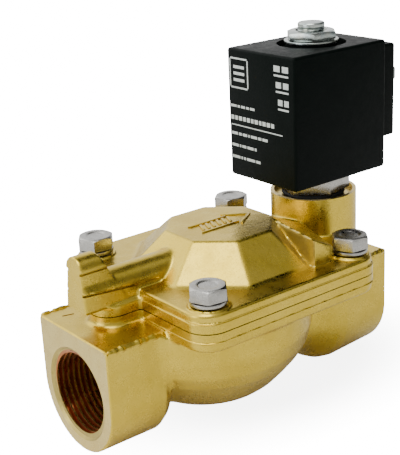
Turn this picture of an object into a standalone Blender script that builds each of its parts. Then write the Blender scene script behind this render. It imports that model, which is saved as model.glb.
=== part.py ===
"""Brass two-port solenoid valve: a forged body and cover, a diaphragm main valve and a plug-on coil.

The origin is on the axis of the two threaded ports, midway between their faces. +X runs from the
inlet to the outlet and +Z runs up to the coil. The sizes below are in millimetres, and the meshes
are made in metres.
"""

import math

import bmesh
import bpy
from mathutils import Matrix, Vector

MM = 0.001
GAP = 0.3
OVERSHOOT = 1.0
WELD = 0.00001

# Ports and body
PORT_FACE = 54.6
PORT_HALF_WIDTH = 17.55
PORT_TOP = 18.95
PORT_CORNER = 1.0
BORE_RADIUS = 12.05
MOUTH_RADIUS = 14.1
MOUTH_DEPTH = 2.05
BORE_END = 35.0
FLANGE_HALF = 34.6
FLANGE_CORNER = 7.5
BODY_FLANGE_LOW = 16.3
BODY_TOP = 22.0

# Main valve seat and flow passages
SEAT_TOP = 14.0
SEAT_BORE = 9.5
SEAT_OUTER = 12.6
CHAMBER_RADIUS = 23.0
CHAMBER_FLOOR = 8.5
OUTLET_TURN = -2.5
PASSAGE_RADIUS = 9.0
NECK_RADIUS = 13.4
NECK_HEIGHT = -0.7
NECK_END = 33.0
INLET_PASSAGE_RADIUS = 8.6
INLET_PASSAGE_START = (-38.0, 0.0, -1.5)
INLET_PASSAGE_END = (-19.6, 0.0, 10.6)
OUTLET_PASSAGE_START = -5.0
OUTLET_PASSAGE_END = 38.0
SEAL_SEAT_RADIUS = 4.2
SEAL_SEAT_FLOOR = 20.8
RIM_RADIUS = 30.2
RIM_FLOOR = 20.4

# Bowl below the flange, turned about an axis on the inlet side: its outline of (radius, height)
BOWL_X = -8.0
BOWL_OUTLINE = (
    (0.0, 17.5),
    (33.1, 17.5),
    (33.1, 9.0),
    (31.9, 4.0),
    (29.6, 0.0),
    (26.4, -4.0),
    (22.8, -8.0),
    (19.8, -10.4),
    (15.6, -12.7),
    (10.6, -14.8),
    (6.0, -15.7),
    (0.0, -15.9),
)

# How the two port blocks run into the bowl: place along X and half width
INLET_ROOT = (
    (PORT_FACE, PORT_HALF_WIDTH),
    (35.8, PORT_HALF_WIDTH),
    (33.4, 16.3),
    (32.0, 14.6),
    (30.6, 12.8),
    (22.0, 10.0),
)
OUTLET_ROOT = (
    (PORT_FACE, PORT_HALF_WIDTH),
    (36.0, 18.4),
    (33.0, 18.0),
    (30.4, 16.9),
    (27.6, 15.2),
    (24.4, 13.6),
    (20.0, 12.0),
)

# Cover
COVER_LOW = BODY_TOP + GAP
COVER_TOP = 27.5
DOME_TOP = 37.6
DOME_TOP_APOTHEM = 15.8
DOME_BASE = 26.8
DOME_BASE_APOTHEM = 27.2
CAVITY_RADIUS = 23.5
CAVITY_STEP = 25.0
CAVITY_ROOF = 34.4
CAVITY_ROOF_RADIUS = 13.0
PAD_RADIUS = 5.8
PAD_TOP = 28.2
TONGUE_HALF = 6.0
TONGUE_END = 47.0
TONGUE_ROOT = -32.0
TONGUE_TOP = 25.6
RIDGE_LOW = 25.2
RIDGE_ROOT = -14.0
RIDGE_END = 52.0
RIDGE_HALF = 4.7
RIDGE_TOP = 34.6
NUB_HALF = 3.6
NUB_TOP = 41.0
NUB_INNER = 41.5
CHANNEL_RADIUS = 1.5
FEED_X = -40.0
FEED_HEIGHT = 29.0
PILOT_CHANNEL_HEIGHT = 30.2

# Cover bolts
BOLT_X = 27.27
BOLT_X_SHIFT = 0.18
BOLT_Y = 27.64
BOLT_RADIUS = 2.95
BOLT_HOLE = 3.3
BOLT_HOLE_LOW = 17.4
BOLT_LOW = 17.9
HEAD_LOW = 30.0
HEAD_TOP = 33.94
HEAD_ACROSS_FLATS = 10.0
HEAD_CHAMFER = 0.6
CORNER_ANGLE = 232.3
BACK_CORNER_ANGLE = 218.0
SPRING_WASHER_OUTER = 5.3
SPRING_WASHER_LOW = 28.4
SPRING_WASHER_TOP = 29.8
SPRING_WASHER_SPLIT = 1.0

# Turret and armature tube
TURRET_X = 39.2
BOSS_RADIUS = 13.75
BOSS_TOP = 39.7
BOSS_PAD_RADIUS = 13.0
TURRET_THREAD = 8.2
TURRET_FLOOR = 31.0
PILOT_CHAMBER = 6.8
PILOT_FLOOR = 29.2
RING_SEAT_RADIUS = 10.9
RING_SEAT_FLOOR = 38.1
TUBE_RADIUS = 6.5
TUBE_BORE = 5.1
TUBE_LOW = 31.6
TUBE_TOP = 84.0
TUBE_THREAD = 7.9
HEX_LOW = 40.2
HEX_TOP = 45.8
HEX_ACROSS_FLATS = 20.0
HEX_CORNER_ANGLE = 14.0

# Armature
CORE_RADIUS = 4.8
CORE_LOW = 60.0
SHOULDER_TOP = 85.3
STUD_RADIUS = 4.2
STUD_TOP = 92.9
PLUNGER_LOW = 33.9
PLUNGER_TOP = 57.9
PLUNGER_RADIUS = 4.75
NOZZLE_TOP = 32.0

# Coil
COIL_LOW_X = 17.66
COIL_HIGH_X = 56.5
COIL_HALF = 15.0
COIL_LOW = 46.1
COIL_TOP = 86.6
COIL_BORE = 6.85
COIL_EDGE = 0.9
GROOVE_INNER = 7.9
GROOVE_OUTER = 10.8
GROOVE_DEPTH = 1.8
WINDING_SPACE = 13.3
BLOCK_HIGH_X = 63.0
BLOCK_HALF = 13.0
BLOCK_LOW = 55.0
BLOCK_TOP = 84.5
YOKE_HALF = 10.0
YOKE_BACK = 20.6
YOKE_FRONT = 50.0
YOKE_THICK = 2.0
YOKE_LOW = 47.7
YOKE_TOP = 83.1
BLADE_WIDTH = 6.3
BLADE_THICK = 0.8
BLADE_ROOT = 58.5
BLADE_TIP = 71.5
BLADE_SPACING = 5.2
BLADE_HEIGHT = 72.6
EARTH_HEIGHT = 62.0
WASHER_RADIUS = 8.4
WASHER_LOW = 86.9
WASHER_TOP = 87.7
NUT_LOW = 87.9
NUT_TOP = 90.5
NUT_ACROSS_FLATS = 14.0

BRASS = ("forged_brass", (0.72, 0.53, 0.20), 0.32, 1.0)
TURNED_BRASS = ("turned_brass", (0.78, 0.62, 0.30), 0.25, 1.0)
STAINLESS = ("stainless_steel", (0.60, 0.60, 0.60), 0.34, 1.0)
ZINC = ("zinc_plated_steel", (0.66, 0.69, 0.71), 0.28, 1.0)
TUBE_STEEL = ("tube_steel", (0.66, 0.64, 0.62), 0.30, 1.0)
MAGNET_STEEL = ("magnet_steel", (0.42, 0.42, 0.44), 0.40, 1.0)
SPRING_STEEL = ("spring_steel", (0.50, 0.50, 0.52), 0.35, 1.0)
COPPER = ("enamelled_copper", (0.62, 0.27, 0.12), 0.35, 1.0)
BLACK_RESIN = ("black_resin", (0.012, 0.014, 0.014), 0.45, 0.0)
NYLON = ("bobbin_nylon", (0.32, 0.30, 0.26), 0.55, 0.0)
RUBBER = ("black_rubber", (0.02, 0.02, 0.02), 0.70, 0.0)


# Scene and helpers


def clear_scene():
    for old in list(bpy.data.objects):
        bpy.data.objects.remove(old, do_unlink=True)


def make_collection(name):
    collection = bpy.data.collections.new(name)
    bpy.context.scene.collection.children.link(collection)
    return collection


clear_scene()
PARTS = make_collection("solenoid_valve")
CUTTERS = make_collection("cutters")


def material(finish):
    name, colour, roughness, metallic = finish
    made = bpy.data.materials.get(name)
    if made is None:
        made = bpy.data.materials.new(name)
        made.use_nodes = True
        shader = made.node_tree.nodes["Principled BSDF"]
        shader.inputs["Base Color"].default_value = (*colour, 1.0)
        shader.inputs["Roughness"].default_value = roughness
        shader.inputs["Metallic"].default_value = metallic
    return made


def from_bmesh(bm, name):
    """A guide object in the cutters collection, its mesh scaled from millimetres."""
    bmesh.ops.scale(bm, vec=(MM, MM, MM), verts=bm.verts)
    mesh = bpy.data.meshes.new(name)
    bm.to_mesh(mesh)
    bm.free()
    made = bpy.data.objects.new(name, mesh)
    CUTTERS.objects.link(made)
    made.hide_render = True
    made.display_type = "WIRE"
    return made


def as_part(made, finish, smooth_degrees=35.0):
    """Moves an object into the parts collection and gives it its material and shading."""
    CUTTERS.objects.unlink(made)
    PARTS.objects.link(made)
    made.hide_render = False
    made.display_type = "TEXTURED"
    made.data.materials.clear()
    made.data.materials.append(material(finish))
    if made.type == "MESH":
        made.data.shade_smooth()
        made.data.set_sharp_from_angle(angle=math.radians(smooth_degrees))
    return made


def boolean(target, other, operation):
    modifier = target.modifiers.new(other.name, "BOOLEAN")
    modifier.operation = operation
    modifier.object = other
    modifier.solver = "EXACT"


def cut(target, *cutters):
    for cutter in cutters:
        boolean(target, cutter, "DIFFERENCE")


def add(target, *others):
    for other in others:
        boolean(target, other, "UNION")


def box(name, low, high):
    bm = bmesh.new()
    bmesh.ops.create_cube(bm, size=1.0)
    size = [b - a for a, b in zip(low, high)]
    centre = [(a + b) / 2 for a, b in zip(low, high)]
    bmesh.ops.scale(bm, vec=size, verts=bm.verts)
    bmesh.ops.translate(bm, vec=centre, verts=bm.verts)
    return from_bmesh(bm, name)


def cone(name, start, end, start_radius, end_radius, segments=28, corner_angle=0.0):
    """A capped cylinder or cone between two points, one of its corners at corner_angle degrees."""
    start, end = Vector(start), Vector(end)
    bm = bmesh.new()
    bmesh.ops.create_cone(
        bm, cap_ends=True, segments=segments, depth=(end - start).length,
        radius1=start_radius, radius2=end_radius,
    )
    turn = Matrix.Rotation(math.radians(corner_angle - 90.0), 4, "Z")
    aim = (end - start).to_track_quat("Z", "Y").to_matrix().to_4x4()
    if abs((end - start).normalized().z) > 0.999:
        aim = Matrix.Identity(4)
    bmesh.ops.transform(bm, matrix=Matrix.Translation((start + end) / 2) @ aim @ turn, verts=bm.verts)
    return from_bmesh(bm, name)


def rod(name, start, end, radius, segments=28):
    return cone(name, start, end, radius, radius, segments)


def post(name, x, y, low, high, radius, segments=28, corner_angle=0.0):
    """An upright cylinder."""
    return cone(name, (x, y, low), (x, y, high), radius, radius, segments, corner_angle)


def hexagon(name, x, y, low, high, across_flats, corner_angle):
    return post(name, x, y, low, high, across_flats / math.sqrt(3.0), 6, corner_angle)


def prism(name, outline, low, high, axis):
    """A flat outline pushed from low to high along an axis. Its points are in the other two axes."""
    place = {
        "X": lambda a, b, depth: (depth, a, b),
        "Y": lambda a, b, depth: (a, depth, b),
        "Z": lambda a, b, depth: (a, b, depth),
    }[axis]
    bm = bmesh.new()
    face = bm.faces.new([bm.verts.new(place(a, b, low)) for a, b in outline])
    pushed = bmesh.ops.extrude_face_region(bm, geom=[face])
    moved = [item for item in pushed["geom"] if isinstance(item, bmesh.types.BMVert)]
    bmesh.ops.translate(bm, vec=place(0, 0, high - low), verts=moved)
    bmesh.ops.recalc_face_normals(bm, faces=bm.faces)
    return from_bmesh(bm, name)


def loft(name, rings):
    """A closed solid through rings of equal point counts, first to last."""
    bm = bmesh.new()
    loops = [[bm.verts.new(point) for point in ring] for ring in rings]
    for upper, lower in zip(loops, loops[1:]):
        for i in range(len(upper)):
            following = (i + 1) % len(upper)
            bm.faces.new((upper[i], upper[following], lower[following], lower[i]))
    bm.faces.new(loops[0])
    bm.faces.new(loops[-1])
    bmesh.ops.recalc_face_normals(bm, faces=bm.faces)
    return from_bmesh(bm, name)


def turned(name, outline, x=0.0, y=0.0, steps=32):
    """A ring turned about an upright axis: its outline of (radius, height) runs down the outer side."""
    bm = bmesh.new()
    verts = [bm.verts.new((radius, 0.0, height)) for radius, height in outline]
    closed = all(radius > 0 for radius, _ in outline)
    for first, second in zip(verts, verts[1:]):
        bm.edges.new((first, second))
    if closed:
        bm.edges.new((verts[-1], verts[0]))
    made = from_bmesh(bm, name)
    made.location = (x * MM, y * MM, 0.0)
    screw = made.modifiers.new("turn", "SCREW")
    screw.steps = steps
    screw.render_steps = steps
    screw.use_merge_vertices = True
    screw.merge_threshold = WELD
    return made


def ring(name, inner, outer, low, high, x=0.0, y=0.0, steps=32):
    outline = ((outer, high), (outer, low), (inner, low), (inner, high))
    return turned(name, outline, x, y, steps)


def o_ring(name, major, minor, height, x, sides=8):
    angles = [-math.tau * i / sides for i in range(sides)]
    outline = [(major + minor * math.cos(angle), height + minor * math.sin(angle)) for angle in angles]
    return turned(name, outline, x, 0.0, 24)


def coil_spring(name, radius, wire_radius, low, high, turns, x):
    """A compression spring whose end turns lie flat."""
    curve = bpy.data.curves.new(name, "CURVE")
    curve.dimensions = "3D"
    curve.bevel_depth = wire_radius * MM
    curve.bevel_resolution = 2
    curve.use_fill_caps = True
    steps_per_turn = 12
    count = int(turns * steps_per_turn) + 1
    spline = curve.splines.new("POLY")
    spline.points.add(count - 1)
    first, last = low + wire_radius, high - wire_radius
    pitch = 2.15 * wire_radius
    for i in range(count):
        turn = i / steps_per_turn
        left = turns - turn
        share = min(max((turn - 1.0) / (turns - 2.0), 0.0), 1.0)
        height = first + pitch * min(turn, 1.0) + (last - first - 2 * pitch) * share
        height += pitch * (1.0 - min(left, 1.0))
        angle = math.tau * turn
        point = (radius * math.cos(angle), radius * math.sin(angle), height)
        spline.points[i].co = (*[value * MM for value in point], 1.0)
    made = bpy.data.objects.new(name, curve)
    CUTTERS.objects.link(made)
    made.location = (x * MM, 0.0, 0.0)
    return made


def rounded_rectangle(centre_x, half_x, half_y, corner, steps=8):
    """Outline points of a rectangle with round corners, counter-clockwise."""
    points = []
    corners = ((1, 1, 0), (-1, 1, 90), (-1, -1, 180), (1, -1, 270))
    for sign_x, sign_y, start in corners:
        for i in range(steps + 1):
            angle = math.radians(start + 90.0 * i / steps)
            x = centre_x + sign_x * (half_x - corner) + corner * math.cos(angle)
            y = sign_y * (half_y - corner) + corner * math.sin(angle)
            points.append((x, y))
    return points


def arch(half_width, low, top, steps=10):
    """A section with upright sides and a round top, in (y, z)."""
    points = [(half_width, low)]
    for i in range(steps + 1):
        angle = math.pi * i / steps
        points.append((half_width * math.cos(angle), top - half_width + half_width * math.sin(angle)))
    points.append((-half_width, low))
    return points


def stadium(end_x, half_width, root_x, steps=10):
    """A tongue outline in (x, y) whose round end points towards -X."""
    points = [(root_x, -half_width), (root_x, half_width)]
    for i in range(steps + 1):
        angle = math.radians(90.0 + 180.0 * i / steps)
        centre = half_width - end_x
        points.append((centre + half_width * math.cos(angle), half_width * math.sin(angle)))
    return points


def port_section(x, half, steps=16):
    """The D-shaped section of a port at x: a flat top and a round bottom."""
    top, corner = PORT_TOP, PORT_CORNER
    points = []
    for sign, start in ((1, 0), (-1, 90)):
        for i in range(4):
            angle = math.radians(start + 30.0 * i)
            points.append((
                x,
                sign * (half - corner) + corner * math.cos(angle),
                top - corner + corner * math.sin(angle),
            ))
    for i in range(steps + 1):
        angle = math.radians(180.0 + 180.0 * i / steps)
        points.append((x, half * math.cos(angle), half * math.sin(angle)))
    return points


def port_block(name, side, root):
    """A port block whose round underside draws in where it meets the bowl."""
    return loft(name, [port_section(side * x, half) for x, half in root])


def bolt_places():
    """The four cover bolts, as (x, y), front left first and the back right one last."""
    left, right = BOLT_X_SHIFT - BOLT_X, BOLT_X_SHIFT + BOLT_X
    return ((left, -BOLT_Y), (left, BOLT_Y), (right, -BOLT_Y), (right, BOLT_Y))


# Valve body


def valve_body():
    flange = rounded_rectangle(0.0, FLANGE_HALF, FLANGE_HALF, FLANGE_CORNER)
    body = prism("valve_body", flange, BODY_FLANGE_LOW, BODY_TOP, "Z")
    add(
        body,
        turned("bowl", BOWL_OUTLINE, BOWL_X, steps=48),
        port_block("inlet_block", -1, INLET_ROOT),
        port_block("outlet_block", 1, OUTLET_ROOT),
        prism("inlet_tongue", stadium(TONGUE_END, TONGUE_HALF, TONGUE_ROOT), 17.0, BODY_TOP, "Z"),
        post("outlet_pad", TURRET_X, 0.0, 17.5, BODY_TOP, BOSS_PAD_RADIUS),
        rod("outlet_neck", (BOWL_X, 0, NECK_HEIGHT), (NECK_END, 0, NECK_HEIGHT), NECK_RADIUS, 30),
    )
    for side in (-1, 1):
        face = side * PORT_FACE
        mouth_start = (face + side * OVERSHOOT, 0, 0)
        mouth_end = (face - side * MOUTH_DEPTH, 0, 0)
        slope = (MOUTH_RADIUS - BORE_RADIUS) / MOUTH_DEPTH
        wide = MOUTH_RADIUS + slope * OVERSHOOT
        name = "inlet" if side < 0 else "outlet"
        cut(
            body,
            rod(name + "_bore", mouth_start, (side * BORE_END, 0, 0), BORE_RADIUS, 40),
            cone(name + "_mouth", mouth_start, mouth_end, wide, BORE_RADIUS, 40),
        )
    chamber = (
        (0.0, BODY_TOP + OVERSHOOT),
        (RIM_RADIUS, BODY_TOP + OVERSHOOT),
        (RIM_RADIUS, RIM_FLOOR),
        (CHAMBER_RADIUS + 0.6, RIM_FLOOR),
        (CHAMBER_RADIUS, RIM_FLOOR - 1.4),
        (CHAMBER_RADIUS, CHAMBER_FLOOR + 2.0),
        (CHAMBER_RADIUS - 2.0, CHAMBER_FLOOR),
        (SEAT_OUTER + 1.4, CHAMBER_FLOOR),
        (SEAT_OUTER, CHAMBER_FLOOR + 1.4),
        (SEAT_OUTER - 1.0, SEAT_TOP),
        (0.0, SEAT_TOP),
    )
    cut(body, turned("inlet_chamber", chamber, steps=36))
    cut(
        body,
        rod("inlet_passage", INLET_PASSAGE_START, INLET_PASSAGE_END, INLET_PASSAGE_RADIUS, 32),
        post("seat_bore", 0.0, 0.0, OUTLET_TURN - 4.0, SEAT_TOP + OVERSHOOT, SEAT_BORE, 32),
        rod(
            "outlet_passage", (OUTLET_PASSAGE_START, 0, OUTLET_TURN), (OUTLET_PASSAGE_END, 0, OUTLET_TURN),
            PASSAGE_RADIUS, 32,
        ),
    )
    for name, x in (("feed", FEED_X), ("drain", TURRET_X)):
        cut(
            body,
            post(name + "_hole", x, 0.0, 8.0, BODY_TOP + OVERSHOOT, CHANNEL_RADIUS, 20),
            post(name + "_seal_seat", x, 0.0, SEAL_SEAT_FLOOR, BODY_TOP + OVERSHOOT, SEAL_SEAT_RADIUS, 32),
        )
    for number, (x, y) in enumerate(bolt_places(), 1):
        cut(body, post(f"body_hole_{number}", x, y, BOLT_HOLE_LOW, BODY_TOP + OVERSHOOT, BOLT_HOLE, 24))
    return as_part(body, BRASS)


# Cover


def turret_web():
    """The rib between the dome and the turret: its top falls towards the front right bolt."""
    corners = (
        (6.8, -15.0, DOME_TOP - 0.3), (14.6, -6.6, DOME_TOP - 0.3), (14.6, 5.0, 36.4), (13.2, -27.2, 35.7),
        (20.4, -27.4, 32.0), (27.0, -8.0, 32.4), (27.0, 6.0, 31.4), (12.3, -27.8, 26.4), (21.5, -28.2, 26.4),
        (31.0, -14.0, 26.4), (31.0, 10.0, 26.4), (15.0, 15.0, 26.4), (6.0, -15.0, 26.4),
    )
    bm = bmesh.new()
    for corner in corners:
        bm.verts.new(corner)
    hull = bmesh.ops.convex_hull(bm, input=bm.verts)
    inside = [item for item in hull["geom_interior"] if isinstance(item, bmesh.types.BMVert)]
    bmesh.ops.delete(bm, geom=inside, context="VERTS")
    bmesh.ops.recalc_face_normals(bm, faces=bm.faces)
    return from_bmesh(bm, "turret_web")


def inlet_nub():
    """The raised end of the inlet-side ridge, sloping down on its inner side."""
    nub = prism("inlet_nub", arch(NUB_HALF, 27.0, NUB_TOP), -RIDGE_END, -NUB_INNER, "X")
    slope = ((-45.8, NUB_TOP + OVERSHOOT), (-41.6, 33.4), (-40.0, 33.4), (-40.0, NUB_TOP + OVERSHOOT))
    cut(nub, prism("nub_slope", slope, -8.0, 8.0, "Y"))
    return nub


def valve_cover():
    flange = rounded_rectangle(0.0, FLANGE_HALF, FLANGE_HALF, FLANGE_CORNER)
    cover = prism("valve_cover", flange, COVER_LOW, COVER_TOP, "Z")
    octagon_corner = 1.0 / math.cos(math.pi / 8)
    dome = cone(
        "dome", (0, 0, DOME_BASE), (0, 0, DOME_TOP),
        DOME_BASE_APOTHEM * octagon_corner, DOME_TOP_APOTHEM * octagon_corner, 8, 22.5,
    )
    add(
        cover,
        dome,
        prism("cover_tongue", stadium(TONGUE_END, TONGUE_HALF, TONGUE_ROOT), COVER_LOW, TONGUE_TOP, "Z"),
        prism("ridge", arch(RIDGE_HALF, RIDGE_LOW, RIDGE_TOP), -RIDGE_END, RIDGE_ROOT, "X"),
        inlet_nub(),
        turret_web(),
        post("boss", TURRET_X, 0.0, COVER_LOW, BOSS_TOP, BOSS_RADIUS, 48),
    )
    for number, (x, y) in enumerate(bolt_places(), 1):
        add(cover, post(f"pad_{number}", x, y, COVER_TOP - 2.0, PAD_TOP, PAD_RADIUS, 32))
        cut(cover, post(f"pocket_{number}", x, y, PAD_TOP + 0.01, DOME_TOP + 2.0, PAD_RADIUS + 0.8, 32))
        cut(cover, post(f"cover_hole_{number}", x, y, COVER_LOW - 1.0, PAD_TOP + 1.0, BOLT_HOLE, 24))
    cavity = (
        (0.0, CAVITY_ROOF),
        (CAVITY_ROOF_RADIUS, CAVITY_ROOF),
        (CAVITY_RADIUS, CAVITY_STEP),
        (CAVITY_RADIUS, COVER_LOW - OVERSHOOT),
        (0.0, COVER_LOW - OVERSHOOT),
    )
    cut(cover, turned("dome_cavity", cavity, steps=36))
    cut(
        cover,
        post("feed_riser", FEED_X, 0.0, COVER_LOW - OVERSHOOT, FEED_HEIGHT, CHANNEL_RADIUS, 20),
        rod("feed_channel", (FEED_X - 1.2, 0, FEED_HEIGHT), (-16.0, 0, FEED_HEIGHT), CHANNEL_RADIUS, 20),
        post("turret_bore", TURRET_X, 0.0, TURRET_FLOOR, BOSS_TOP + OVERSHOOT, TURRET_THREAD),
        post("ring_seat", TURRET_X, 0.0, RING_SEAT_FLOOR, BOSS_TOP + OVERSHOOT, RING_SEAT_RADIUS),
        post("pilot_chamber", TURRET_X, 0.0, PILOT_FLOOR, TURRET_FLOOR + OVERSHOOT, PILOT_CHAMBER),
        rod("pilot_channel", (14.0, 0, PILOT_CHANNEL_HEIGHT), (34.0, 0, PILOT_CHANNEL_HEIGHT), 1.0, 20),
        post("nozzle_seat", TURRET_X, 0.0, 25.0, PILOT_FLOOR + OVERSHOOT, 2.9, 24),
        post("drain_riser", TURRET_X, 0.0, COVER_LOW - OVERSHOOT, 26.0, CHANNEL_RADIUS, 20),
    )
    return as_part(cover, BRASS)


# Fasteners


def hex_bolt(number, x, y):
    angle = BACK_CORNER_ANGLE if number == 4 else CORNER_ANGLE
    bolt = hexagon(f"cover_bolt_{number}", x, y, HEAD_LOW, HEAD_TOP, HEAD_ACROSS_FLATS, angle)
    add(bolt, post(f"shank_{number}", x, y, BOLT_LOW, HEAD_LOW + 1.0, BOLT_RADIUS, 20))
    corner = HEAD_ACROSS_FLATS / math.sqrt(3.0)
    crown = cone(
        f"crown_{number}", (x, y, BOLT_LOW - 1.0), (x, y, HEAD_TOP + 0.001),
        corner + 3.3, corner - HEAD_CHAMFER - 0.3, 40,
    )
    boolean(bolt, crown, "INTERSECT")
    return as_part(bolt, STAINLESS)


def spring_washer(number, x, y):
    washer = ring(
        f"spring_washer_{number}", BOLT_HOLE, SPRING_WASHER_OUTER,
        SPRING_WASHER_LOW, SPRING_WASHER_TOP, x, y, 32,
    )
    half = SPRING_WASHER_SPLIT / 2
    cut(washer, box(f"split_{number}", (x, y - half, 27.0), (x + 7.0, y + half, 31.0)))
    return as_part(washer, STAINLESS)


# Diaphragm and its spring


def diaphragm():
    membrane = (
        (29.8, 22.0), (29.8, 20.7), (23.9, 20.7), (22.2, 19.9), (20.2, 18.6), (18.2, 18.2), (3.3, 18.2),
        (3.3, 19.4), (17.6, 19.4), (19.7, 19.8), (21.6, 21.1), (23.6, 22.0),
    )
    seat_disc = ((13.0, 17.9), (13.0, 14.3), (3.3, 14.3), (3.3, 17.9))
    plate = (
        (15.4, 21.0), (16.0, 20.4), (16.0, 19.7), (3.3, 19.7), (3.3, 21.6), (7.2, 21.6), (7.6, 21.0),
    )
    rivet = (
        (0.0, 23.4), (4.4, 23.4), (5.2, 22.6), (5.2, 21.9), (3.0, 21.9),
        (3.0, 14.0), (5.2, 14.0), (5.2, 13.0), (0.0, 13.0),
    )
    as_part(turned("diaphragm_membrane", membrane, steps=36), RUBBER)
    as_part(turned("seat_disc", seat_disc), RUBBER)
    as_part(turned("support_plate", plate), STAINLESS)
    as_part(turned("diaphragm_rivet", rivet, steps=24), TURNED_BRASS)
    as_part(coil_spring("main_spring", 9.2, 0.6, 21.3, 34.1, 5.5, 0.0), SPRING_STEEL)


# Pilot valve


def pilot_nozzle():
    outline = (
        (1.7, NOZZLE_TOP), (2.6, 30.6), (2.6, 25.3), (0.8, 25.3), (0.8, NOZZLE_TOP),
    )
    return as_part(turned("pilot_nozzle", outline, TURRET_X, steps=24), TURNED_BRASS)


def armature_tube():
    tube = hexagon("armature_tube", TURRET_X, 0.0, HEX_LOW, HEX_TOP, HEX_ACROSS_FLATS, HEX_CORNER_ANGLE)
    add(
        tube,
        post("tube_wall", TURRET_X, 0.0, HEX_TOP - 2.0, TUBE_TOP, TUBE_RADIUS),
        post("tube_thread", TURRET_X, 0.0, TUBE_LOW, HEX_LOW + 2.0, TUBE_THREAD),
    )
    cut(tube, post("tube_bore", TURRET_X, 0.0, TUBE_LOW - 1.0, TUBE_TOP + 1.0, TUBE_BORE))
    return as_part(tube, TUBE_STEEL)


def armature():
    core = (
        (0.0, STUD_TOP), (STUD_RADIUS - 0.6, STUD_TOP),
        (STUD_RADIUS, STUD_TOP - 0.6), (STUD_RADIUS, SHOULDER_TOP),
        (TUBE_RADIUS, SHOULDER_TOP), (TUBE_RADIUS, TUBE_TOP + GAP), (CORE_RADIUS, TUBE_TOP + GAP),
        (CORE_RADIUS, CORE_LOW), (4.0, CORE_LOW), (4.0, 61.6), (2.6, 61.6), (2.6, CORE_LOW), (0.0, CORE_LOW),
    )
    plunger = (
        (2.5, PLUNGER_TOP), (4.2, PLUNGER_TOP), (PLUNGER_RADIUS, PLUNGER_TOP - 0.6),
        (PLUNGER_RADIUS, PLUNGER_LOW + 0.6), (4.2, PLUNGER_LOW), (2.9, PLUNGER_LOW), (2.9, 35.0), (0.0, 35.0),
    )
    plunger_bore = ((0.0, 50.0), (2.5, 50.0))
    as_part(turned("fixed_core", core, TURRET_X, steps=32), ZINC)
    as_part(ring("shading_ring", 2.9, 3.7, 60.05, 61.3, TURRET_X, 0.0, 32), COPPER)
    as_part(turned("plunger", plunger_bore + plunger, TURRET_X, steps=32), MAGNET_STEEL)
    seal = ((0.0, 34.7), (2.6, 34.7), (2.6, 32.3), (0.0, 32.3))
    as_part(turned("plunger_seal", seal, TURRET_X, steps=24), RUBBER)
    as_part(coil_spring("plunger_spring", 1.85, 0.28, 50.2, 59.8, 6.5, TURRET_X), SPRING_STEEL)


def seals():
    as_part(o_ring("tube_seal", 9.4, 0.75, 39.15, TURRET_X), RUBBER)
    as_part(o_ring("feed_seal", 3.2, 0.55, 21.5, FEED_X), RUBBER)
    as_part(o_ring("drain_seal", 3.2, 0.55, 21.5, TURRET_X), RUBBER)


# Coil


def bevelled(made, width, segments=2):
    bevel = made.modifiers.new("edge", "BEVEL")
    bevel.width = width * MM
    bevel.segments = segments
    bevel.limit_method = "ANGLE"
    bevel.angle_limit = math.radians(40.0)
    return made


def coil_housing():
    housing = box(
        "coil_housing", (COIL_LOW_X, -COIL_HALF, COIL_LOW), (COIL_HIGH_X, COIL_HALF, COIL_TOP)
    )
    bevelled(housing, COIL_EDGE)
    block = box("block", (COIL_HIGH_X - 2.0, -BLOCK_HALF, BLOCK_LOW), (BLOCK_HIGH_X, BLOCK_HALF, BLOCK_TOP))
    bevelled(block, COIL_EDGE)
    add(housing, block)
    cut(
        housing,
        post("coil_bore", TURRET_X, 0.0, COIL_LOW - 1.0, COIL_TOP + 1.0, COIL_BORE),
        ring("top_groove", GROOVE_INNER, GROOVE_OUTER, COIL_TOP - GROOVE_DEPTH, COIL_TOP + 1.0, TURRET_X),
        post("winding_space", TURRET_X, 0.0, YOKE_LOW + 1.0, YOKE_TOP - 1.0, WINDING_SPACE),
        box(
            "yoke_space", (YOKE_BACK - GAP, -YOKE_HALF - GAP, YOKE_LOW - GAP),
            (YOKE_FRONT + GAP, YOKE_HALF + GAP, YOKE_TOP + GAP),
        ),
    )
    for name, y, z, half_y, half_z in blade_places():
        low = (BLADE_ROOT - GAP, y - half_y - GAP, z - half_z - GAP)
        high = (BLOCK_HIGH_X + 2.0, y + half_y + GAP, z + half_z + GAP)
        cut(housing, box(name + "_slot", low, high))
    return as_part(housing, BLACK_RESIN)


def blade_places():
    """Each contact blade as (name, y, z, half size in y, half size in z)."""
    wide, thin = BLADE_WIDTH / 2, BLADE_THICK / 2
    return (
        ("line_blade", BLADE_SPACING, BLADE_HEIGHT, thin, wide),
        ("neutral_blade", -BLADE_SPACING, BLADE_HEIGHT, thin, wide),
        ("earth_blade", 0.0, EARTH_HEIGHT, wide, thin),
    )


def blades():
    tip = 1.6
    for name, y, z, half_y, half_z in blade_places():
        wide = max(half_y, half_z)
        outline = (
            (BLADE_ROOT, -wide), (BLADE_TIP - tip, -wide), (BLADE_TIP, -wide + tip), (BLADE_TIP, wide - tip),
            (BLADE_TIP - tip, wide), (BLADE_ROOT, wide),
        )
        if half_z > half_y:
            points = [(x, z + across) for x, across in outline]
            blade = prism(name, points, y - half_y, y + half_y, "Y")
            cut(blade, cone(name + "_eye", (67.5, y - 2.0, z), (67.5, y + 2.0, z), 1.0, 1.0, 20))
        else:
            points = [(x, y + across) for x, across in outline]
            blade = prism(name, points, z - half_z, z + half_z, "Z")
            cut(blade, post(name + "_eye", 67.5, y, z - 2.0, z + 2.0, 1.0, 20))
        as_part(blade, ZINC)


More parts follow.
